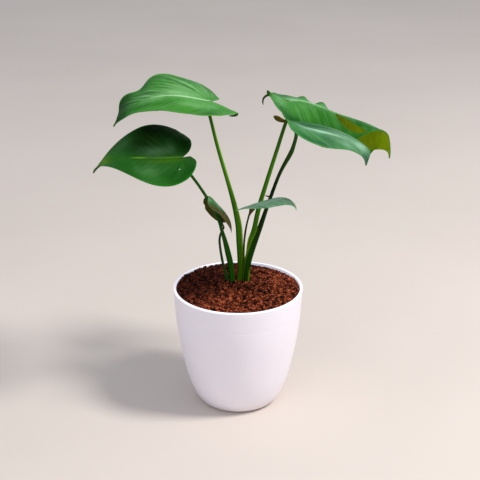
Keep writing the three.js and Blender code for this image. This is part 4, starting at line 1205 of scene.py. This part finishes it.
def soil_material(name, look):
    """Moist coir: each crumb has its own tint, and deep gaps are dark with painted shade."""
    material, tree, shader = new_material(name, roughness=0.8, specular=0.08)
    mottle = mottle_on(tree, patch_scale=420.0, speck_scale=1500.0)
    tint = value_of(tree, "tint")
    colour = mixed(tree, ramp(tree, tint, 0.1, 0.5), look["dark"], look["warm"])
    colour = mixed(tree, ramp(tree, tint, 0.45, 0.95), colour, look["bright"])
    colour = tinted(tree, colour, mottle["Specks"], 0.35, look["dark"])
    put_colour(tree, shader, colour)
    put_bump(tree, shader, mottle["Specks"], 0.9, 0.0006)
    return material


def root_material():
    """Matt bark of crowns and roots."""
    material, tree, shader = new_material("root bark", roughness=0.8, specular=0.3)
    mottle = mottle_on(tree, patch_scale=220.0, speck_scale=1800.0)
    look = toned(ROOT_LOOK)
    colour = mixed(tree, mottle["Patches"], look["bark"], look["light"])
    colour = tinted(tree, colour, mottle["Specks"], 0.3, look["dark"])
    put_colour(tree, shader, colour)
    put_bump(tree, shader, mottle["Specks"], 0.5, 0.0004)
    return material


def floor_material():
    material, tree, shader = new_material("pale floor", roughness=0.9, specular=0.2)
    mottle = mottle_on(tree, patch_scale=3.0, speck_scale=90.0)
    look = toned(FLOOR_LOOK)
    colour = mixed(tree, mottle["Patches"], look["dark"], look["light"])
    put_colour(tree, shader, colour)
    return material


# Pot

def pot_radius():
    """Outer radius of the pot's wall at a height."""
    curve = chord_spline([(share * POT_HEIGHT, radius) for share, radius in POT_OUTLINE])
    samples = np.array([curve(share) for share in np.linspace(0, 1, 401)])
    return lambda height: np.interp(height, samples[:, 0], samples[:, 1])


RADIUS_AT = pot_radius()


def pot_profile():
    """Outline of the pot's section from the middle of its underside round to its inside floor."""
    floor_top = RECESS_HEIGHT + FLOOR_THICKNESS
    profile = [(NEAR_MIDDLE, 0), (PAD_RADIUS * 0.6, 0), (PAD_RADIUS, 0)]
    profile += [(PAD_RADIUS + PAD_TAPER, RECESS_HEIGHT), (PAD_RADIUS + 2, RECESS_HEIGHT)]
    profile += [(FOOT_INNER_RADIUS - 1, RECESS_HEIGHT)]
    profile += [(FOOT_INNER_RADIUS + 0.5 * k, RECESS_HEIGHT * (1 - k / 3) ** 1.5) for k in range(4)]
    profile += [(radius, 0) for radius in (*FOOT_FLAT, FOOT_OUTER_RADIUS - 0.5)]
    for height in np.concatenate([np.linspace(*band) for band in WALL_BANDS]):
        pressed = sum(deep * math.exp(-((height - at) / half) ** 2) for at, deep, half in WALL_RINGS)
        profile.append((float(RADIUS_AT(height)) - pressed, height))
    turns = math.pi / 2 * np.arange(6) / 5
    for turn in turns[1:]:
        sunk = RIM_ROUND * (1 - math.sin(turn))
        profile.append((RIM_RADIUS - RIM_ROUND * (1 - math.cos(turn)), POT_HEIGHT - sunk))
    for turn in turns:
        sunk = RIM_ROUND * (1 - math.cos(turn))
        profile.append((RIM_RADIUS - WALL - LIP + RIM_ROUND * (1 - math.sin(turn)), POT_HEIGHT - sunk))
    profile.append((RIM_RADIUS - WALL - LIP, POT_HEIGHT - LIP_DEPTH))
    for height in np.linspace(POT_HEIGHT - LIP_END, floor_top + INSIDE_CORNER, INSIDE_STEPS):
        profile.append((float(RADIUS_AT(height)) - WALL, height))
    profile += [(float(RADIUS_AT(floor_top)) - WALL - INSIDE_CORNER, floor_top)]
    profile += [(PAD_RADIUS, floor_top), (NEAR_MIDDLE, floor_top)]
    return profile


def circle(radius, height, turns, centre=(0, 0)):
    angles = np.arange(turns) * 2 * math.pi / turns
    across, back = centre[0] + radius * np.cos(angles), centre[1] + radius * np.sin(angles)
    return np.stack([across, back, height + 0 * angles], -1)


def build_pot(material):
    """The pot as one shell, with its drain holes drilled."""
    rings = [circle(radius, height, POT_TURNS) for radius, height in reversed(pot_profile())]
    shell = ring_mesh("pot_shell", rings, PIPE_SHARP_ANGLE)
    pot = add_piece("pot_shell", shell, [material], ["pot"])
    drills = []
    for i in range(DRAIN_HOLES):
        turn = 2 * math.pi * i / DRAIN_HOLES
        centre = (DRAIN_CIRCLE * math.cos(turn), DRAIN_CIRCLE * math.sin(turn))
        hole = [circle(DRAIN_RADIUS, height, DRAIN_TURNS, centre) for height in DRAIN_SPAN]
        drill = new_object("drill", ring_mesh("drill", hole))
        cut = pot.modifiers.new("drain", "BOOLEAN")
        cut.operation = "DIFFERENCE"
        cut.object = drill
        cut.solver = "EXACT"
        drills.append(drill)
    bpy.context.view_layer.update()
    cut_mesh = bpy.data.meshes.new_from_object(pot.evaluated_get(bpy.context.evaluated_depsgraph_get()))
    pot.modifiers.clear()
    whole = pot.data
    pot.data = cut_mesh
    bpy.data.meshes.remove(whole)
    for drill in drills:
        bpy.data.objects.remove(drill)


# Soil

def soil_height():
    """Height of the soil's surface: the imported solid's mound and lumps, and the rise at its edge."""
    state = SOIL_SEED

    def draw():
        nonlocal state
        state = (state * 1664525 + 1013904223) % 4294967296
        return state / 4294967296

    limit = float(RADIUS_AT(SOIL_EDGE_HEIGHT)) - WALL - LUMP_MARGIN
    lumps = []
    for _ in range(LUMPS):
        angle = 2 * math.pi * draw()
        distance = limit * math.sqrt(draw())
        height = LUMP_HEIGHT[0] + (LUMP_HEIGHT[1] - LUMP_HEIGHT[0]) * draw()
        radius = LUMP_RADIUS[0] + (LUMP_RADIUS[1] - LUMP_RADIUS[0]) * draw()
        lumps.append((distance * math.cos(angle), distance * math.sin(angle), height, radius))

    def height_at(x, y):
        away = x**2 + (y - MOUND_CENTRE_Y) ** 2
        z = SOIL_EDGE_HEIGHT + MOUND_HEIGHT * np.exp(-away / MOUND_RADIUS**2)
        for lump_x, lump_y, lump_height, lump_radius in lumps:
            away = (x - lump_x) ** 2 + (y - lump_y) ** 2
            z = z + lump_height * np.exp(-away / lump_radius**2)
        rise = EDGE_RISE * smooth_step(SOIL_RIM - EDGE_RISE_WIDTH, SOIL_RIM, np.hypot(x, y))
        return z + rise * smooth_step(*EDGE_RISE_BACK, y) * smooth_step(*EDGE_RISE_LEFT, x)

    return height_at


SOIL_RIM = float(RADIUS_AT(SOIL_EDGE_HEIGHT)) - WALL - WALL_GAP
SOIL_HEIGHT_AT = soil_height()


def crumb_field(seed, count, low, high):
    """Round crumbs pressed into the soil, read from a grid: their height and their tint."""
    rng = np.random.default_rng(seed)
    size, cells = RIM_RADIUS, CRUMB_CELLS
    heights, tints = np.zeros((cells, cells)), np.zeros((cells, cells))
    step = 2 * size / cells
    for _ in range(count):
        cx, cy = rng.uniform(-size, size, 2)
        radius = low + (high - low) * rng.random() ** 2.2
        height = radius * rng.uniform(0.6, 1.15)
        stretch = rng.uniform(*CRUMB_STRETCH)
        turn = rng.uniform(0, math.pi)
        tint = rng.random()
        reach = int(radius * 1.1 / step) + 1
        i, j = int((cx + size) / step), int((cy + size) / step)
        rows, columns = slice(max(0, i - reach), i + reach), slice(max(0, j - reach), j + reach)
        places = (np.arange(cells) + 0.5) * step - size
        gx, gy = np.meshgrid(places[rows] - cx, places[columns] - cy, indexing="ij")
        a = gx * math.cos(turn) + gy * math.sin(turn)
        b = gy * math.cos(turn) - gx * math.sin(turn)
        dome = np.sqrt(np.clip(1 - (a / radius) ** 2 - (b * stretch / radius) ** 2, 0, None)) * height
        higher = dome > heights[rows, columns]
        heights[rows, columns][higher] = dome[higher]
        tints[rows, columns][higher] = tint

    def look(x, y):
        i = np.clip(((np.asarray(x) + size) / step).astype(int), 0, cells - 1)
        j = np.clip(((np.asarray(y) + size) / step).astype(int), 0, cells - 1)
        return heights[i, j], tints[i, j]

    return look


def soil_shade(x, y):
    """Painted shadow: the soil is darker behind and to the left of the stalks, where the leaves' shadow
    falls.
    """
    return SHADED_TINT + LIT_GAIN * smooth_step(*SHADE_EDGE_SPAN, x - SHADE_EDGE_SLANT * y)


def build_soil(material, crumbs):
    """The filling of the pot: its crumbly surface, its side and its bottom."""
    rings, tints = [], []
    for i in range(1, SOIL_RINGS + 1):
        ring = circle(SOIL_RIM * (i / SOIL_RINGS) ** RING_BUNCHING, 0, SOIL_TURNS)
        x, y = ring[:, 0], ring[:, 1]
        height, tint = crumbs(x, y)
        ring[:, 2] = np.minimum(SOIL_HEIGHT_AT(x, y) + height - CRUMB_SINK, POT_HEIGHT + RIM_RISE)
        rings.append(ring)
        # Painted shade: the tint falls to dark in the gaps between crumbs.
        tints.append(tint * smooth_step(*GAP_SHADE_SPAN, height) * soil_shade(x, y))
    for height in SOIL_SIDE_RINGS:
        rings.append(circle(float(RADIUS_AT(height)) - WALL - SIDE_GAP, height, SOIL_TURNS))
    floor = RECESS_HEIGHT + FLOOR_THICKNESS + FLOOR_GAP
    rings.append(circle(float(RADIUS_AT(floor)) - WALL - BOTTOM_GAP, floor, SOIL_TURNS))
    mesh = ring_mesh("soil_bed", rings, 180)
    tints += [np.full(SOIL_TURNS, SIDE_TINT)] * (len(SOIL_SIDE_RINGS) + 1)
    add_values(mesh, "tint", np.concatenate(tints))
    mesh.flip_normals()
    add_piece("soil_bed", mesh, [material], ["soil"])


def mesh_from_bits(name, verts, faces, tints):
    mesh = new_mesh(name, np.array(verts), faces, PIPE_SHARP_ANGLE)
    add_values(mesh, "tint", tints)
    return mesh


def spot_on_soil(rng, reach, share):
    """A place drawn evenly over a round of soil, within a share of its reach."""
    radius = reach * math.sqrt(rng.random()) * share
    angle = rng.random() * 2 * math.pi
    return radius * math.cos(angle), radius * math.sin(angle)


def build_crumbs(material, crumbs, seed, count, reach, largest):
    """Loose crumbs and chips of coir lying on the soil, joined in one piece."""
    rng = np.random.default_rng(seed)
    corners = np.array([
        (1, 0, 0), (-1, 0, 0), (0, 1, 0), (0, -1, 0), (0, 0, 1), (0, 0, -1),
        (0.7, 0.7, 0.1), (-0.7, 0.6, -0.1), (0.6, -0.7, 0.2), (-0.6, -0.7, 0.1)], float)
    shell = [
        (0, 6, 4), (6, 2, 4), (2, 7, 4), (7, 1, 4), (1, 9, 4), (9, 3, 4), (3, 8, 4), (8, 0, 4),
        (6, 0, 5), (2, 6, 5), (7, 2, 5), (1, 7, 5), (9, 1, 5), (3, 9, 5), (8, 3, 5), (0, 8, 5)]
    verts, faces, tints = [], [], []
    for _ in range(count):
        x, y = spot_on_soil(rng, SOIL_RIM, reach)
        size = min(rng.gamma(2.2, 0.26) + 0.2, largest)
        stretch = size * np.array(
            [rng.uniform(*CRUMB_STRETCH), rng.uniform(0.6, 1.1), rng.uniform(0.55, 0.95)])
        turn = rng.uniform(0, 2 * math.pi)
        lean = rng.normal(0, 0.35, 2)
        local = corners * stretch * rng.uniform(0.75, 1.2, corners.shape)
        c, s = math.cos(turn), math.sin(turn)
        turned = local @ np.array([[c, s, 0], [-s, c, 0], [0, 0, 1]])
        turned[:, 2] += turned[:, 0] * lean[0] + turned[:, 1] * lean[1]
        z = float(SOIL_HEIGHT_AT(x, y)) - CRUMB_SINK + 0.8 * float(crumbs(x, y)[0]) + 0.15 * size
        start = len(verts)
        verts.extend((turned + (x, y, z)).tolist())
        faces.extend([(a + start, b + start, d + start) for a, b, d in shell])
        # Loose crumbs share the painted shadow on the soil under them.
        tints.extend([rng.random() ** 1.2 * float(soil_shade(x, y))] * len(corners))
    mesh = mesh_from_bits("soil_crumbs", verts, faces, tints)
    add_piece("soil_crumbs", mesh, [material])


def build_fibres(material, seed, count, steps, sides):
    """Short coir fibres lying over the crumbs."""
    rng = np.random.default_rng(seed)
    verts, faces, tints = [], [], []
    upward = np.array([0, 0, 1])
    for _ in range(count):
        x, y = spot_on_soil(rng, SOIL_RIM - 2, 1)
        length = rng.uniform(*FIBRE_LENGTH)
        thick = rng.uniform(*FIBRE_THICKNESS)
        turn = rng.uniform(0, 2 * math.pi)
        bend = rng.normal(0, FIBRE_BEND)
        arch = rng.uniform(*FIBRE_ARCH)
        start = len(verts)
        for k in range(steps):
            inward = min(1, (SOIL_RIM - 1) / math.hypot(x, y))
            at = np.array([x * inward, y * inward, 0])
            at[2] = float(SOIL_HEIGHT_AT(at[0], at[1])) - 0.1 + arch * math.sin(math.pi * k / (steps - 1))
            aside = np.array([math.sin(turn), -math.cos(turn), 0])
            for j in range(sides):
                around = 2 * math.pi * j / sides
                verts.append(at + thick * (math.cos(around) * aside + math.sin(around) * upward))
            x += math.cos(turn) * length / steps
            y += math.sin(turn) * length / steps
            turn += bend
        for k in range(steps - 1):
            for j in range(sides):
                a, b = start + k * sides + j, start + k * sides + (j + 1) % sides
                faces.append((a, b, b + sides, a + sides))
        faces.append(tuple(start + j for j in reversed(range(sides))))
        faces.append(tuple(start + (steps - 1) * sides + j for j in range(sides)))
        tints.extend([rng.uniform(0.3, 1)] * (steps * sides))
    mesh = mesh_from_bits("soil_fibres", verts, faces, tints)
    add_piece("soil_fibres", mesh, [material])


# Stalks

def stalk_stations(stalk, steps_per_point=10):
    """Stations of a stalk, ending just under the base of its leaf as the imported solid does."""
    leaf = LEAVES[stalk["leaf"]]
    forward, _, up = blade_frame(leaf, np.array(0.0))
    base = np.array(leaf["base"], float)
    under = stalk["rib"] - LEAF_THICKNESS / 2 + UNDER_RIB + stalk["clear"]

    def spot(down, ahead):
        return base - up * (under + down) + forward * ahead

    full = [list(point) for point in stalk["route"]]
    if stalk["rise"]:
        full.append([*spot(stalk["rise"], LAST_BEND_AHEAD), stalk["tip"], stalk["tip"]])
    full.append([*spot(0, END_AHEAD), stalk["tip"] * END_TAPER, stalk["tip"] * END_TAPER])
    centre = chord_spline([point[:3] for point in full])
    sized = chord_spline(full)
    steps = (len(full) - 1) * steps_per_point
    return [(centre(i / steps), *sized(i / steps)[3:]) for i in range(steps + 1)]


def build_stalk(name, material, sides=28):
    """The skin of one stalk, with how far each point belongs to a bright edge, winged or in painted light,
    or to a side in painted shade.
    """
    rings, angles = tube_rings(stalk_stations(STALKS[name]), sides)
    wings_and_painted_light = []
    for ring in rings:
        height = ring[:, 2].mean()
        wing_and_painted_light = SHADE * smooth_step(*SHADE_SPAN, -np.cos(angles))
        for side, low, high, strength in STALK_WINGS_AND_LIT_SIDES[name]:
            above = smooth_step(low, low + BAND_FADE, height)
            within = above * (1 - smooth_step(high - BAND_FADE, high, height))
            edge = strength * within * smooth_step(*BAND_SPAN, side * np.cos(angles))
            wing_and_painted_light = np.where(edge > BAND_LEAST, edge, wing_and_painted_light)
        wings_and_painted_light.append(wing_and_painted_light)
    mesh = ring_mesh(name + "_skin", rings, PIPE_SHARP_ANGLE)
    add_values(mesh, "wing_and_painted_light", np.concatenate(wings_and_painted_light))
    add_piece(name + "_skin", mesh, [material], [name])


def build_curl(name, material, sides=18, steps_per_point=6):
    """A small rolled end, wrinkled a little along its length."""
    route = CURLS[name]
    centre = chord_spline([point[:3] for point in route])
    sized = chord_spline(route)
    steps = (len(route) - 1) * steps_per_point
    stations = []
    for i in range(steps + 1):
        wrinkle = 1 + 0.07 * math.sin(i * 1.9) + 0.05 * math.sin(i * 3.7 + 1)
        stations.append((centre(i / steps), *(sized(i / steps)[3:] * wrinkle)))
    rings, _ = tube_rings(stations, sides)
    add_piece(name, ring_mesh(name, rings, PIPE_SHARP_ANGLE), [material])


# Scene

def build_camera():
    data = bpy.data.cameras.new("camera")
    data.lens = LENS
    data.sensor_width = SENSOR
    camera = new_object("camera", data)
    camera.location = EYE
    camera.rotation_euler = (math.radians(CAMERA_TILT), 0, 0)
    bpy.context.scene.camera = camera


def build_floor():
    mesh = bpy.data.meshes.new("floor")
    corners = [(FLOOR_REACH * x, FLOOR_REACH * y, 0) for x, y in ((-1, -1), (1, -1), (1, 1), (-1, 1))]
    mesh.from_pydata(corners, [], [(0, 1, 2, 3)])
    mesh.materials.append(floor_material())
    floor = new_object("floor", mesh)


def add_lamp(name, place, target, size, power, colour):
    data = bpy.data.lights.new(name, "AREA")
    data.shape = "DISK"
    data.size = size
    data.energy = power
    data.color = colour
    lamp = new_object(name, data)
    lamp.location = place
    lamp.rotation_euler = (Vector(target) - Vector(place)).to_track_quat("-Z", "Y").to_euler()


def build_light():
    world = bpy.data.worlds.new("soft sky")
    world.use_nodes = True
    background = world.node_tree.nodes["Background"]
    background.inputs[0].default_value = (*SKY_COLOUR, 1)
    background.inputs[1].default_value = SKY_STRENGTH
    scene = bpy.context.scene
    scene.world = world
    for lamp in LAMPS:
        add_lamp(**lamp)
    scene.view_settings.view_transform = "Standard"
    scene.view_settings.look = "None"


def build_plant():
    for name, shades in STALK_LOOKS.items():
        skin = stalk_material(name + " skin", toned(shades))
        build_stalk(name, skin)
    for name, shades in LEAF_LOOKS.items():
        leaf = LEAVES[name]
        look = toned(shades)
        materials = [
            leaf_face_material(name + " face", leaf, look),
            leaf_back_material(name + " back", leaf, look),
            leaf_rim_material(name + " rim", look),
        ]
        add_piece(name + "_blade", blade_mesh(name, leaf), materials, [name])
    for name, shades in CURL_LOOKS.items():
        build_curl(name, dried_material(name.replace("_", " "), toned(shades)))


def build_earth():
    soil = soil_material("coir soil", toned(SOIL_LOOK))
    crumbs = crumb_field(**PRESSED_CRUMBS)
    build_soil(soil, crumbs)
    build_crumbs(soil, crumbs, **LOOSE_CRUMBS)
    build_fibres(soil_material("coir fibre", toned(FIBRE_LOOK)), **FIBRES)


def main():
    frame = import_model()
    build_camera()
    build_floor()
    build_light()
    build_pot(plastic_material())
    build_earth()
    build_plant()
    bark = root_material()
    for node in ("crown_right", "crown_left"):
        frame["nodes"][node].data.materials.clear()
        frame["nodes"][node].data.materials.append(bark)
    bpy.context.view_layer.update()


main()
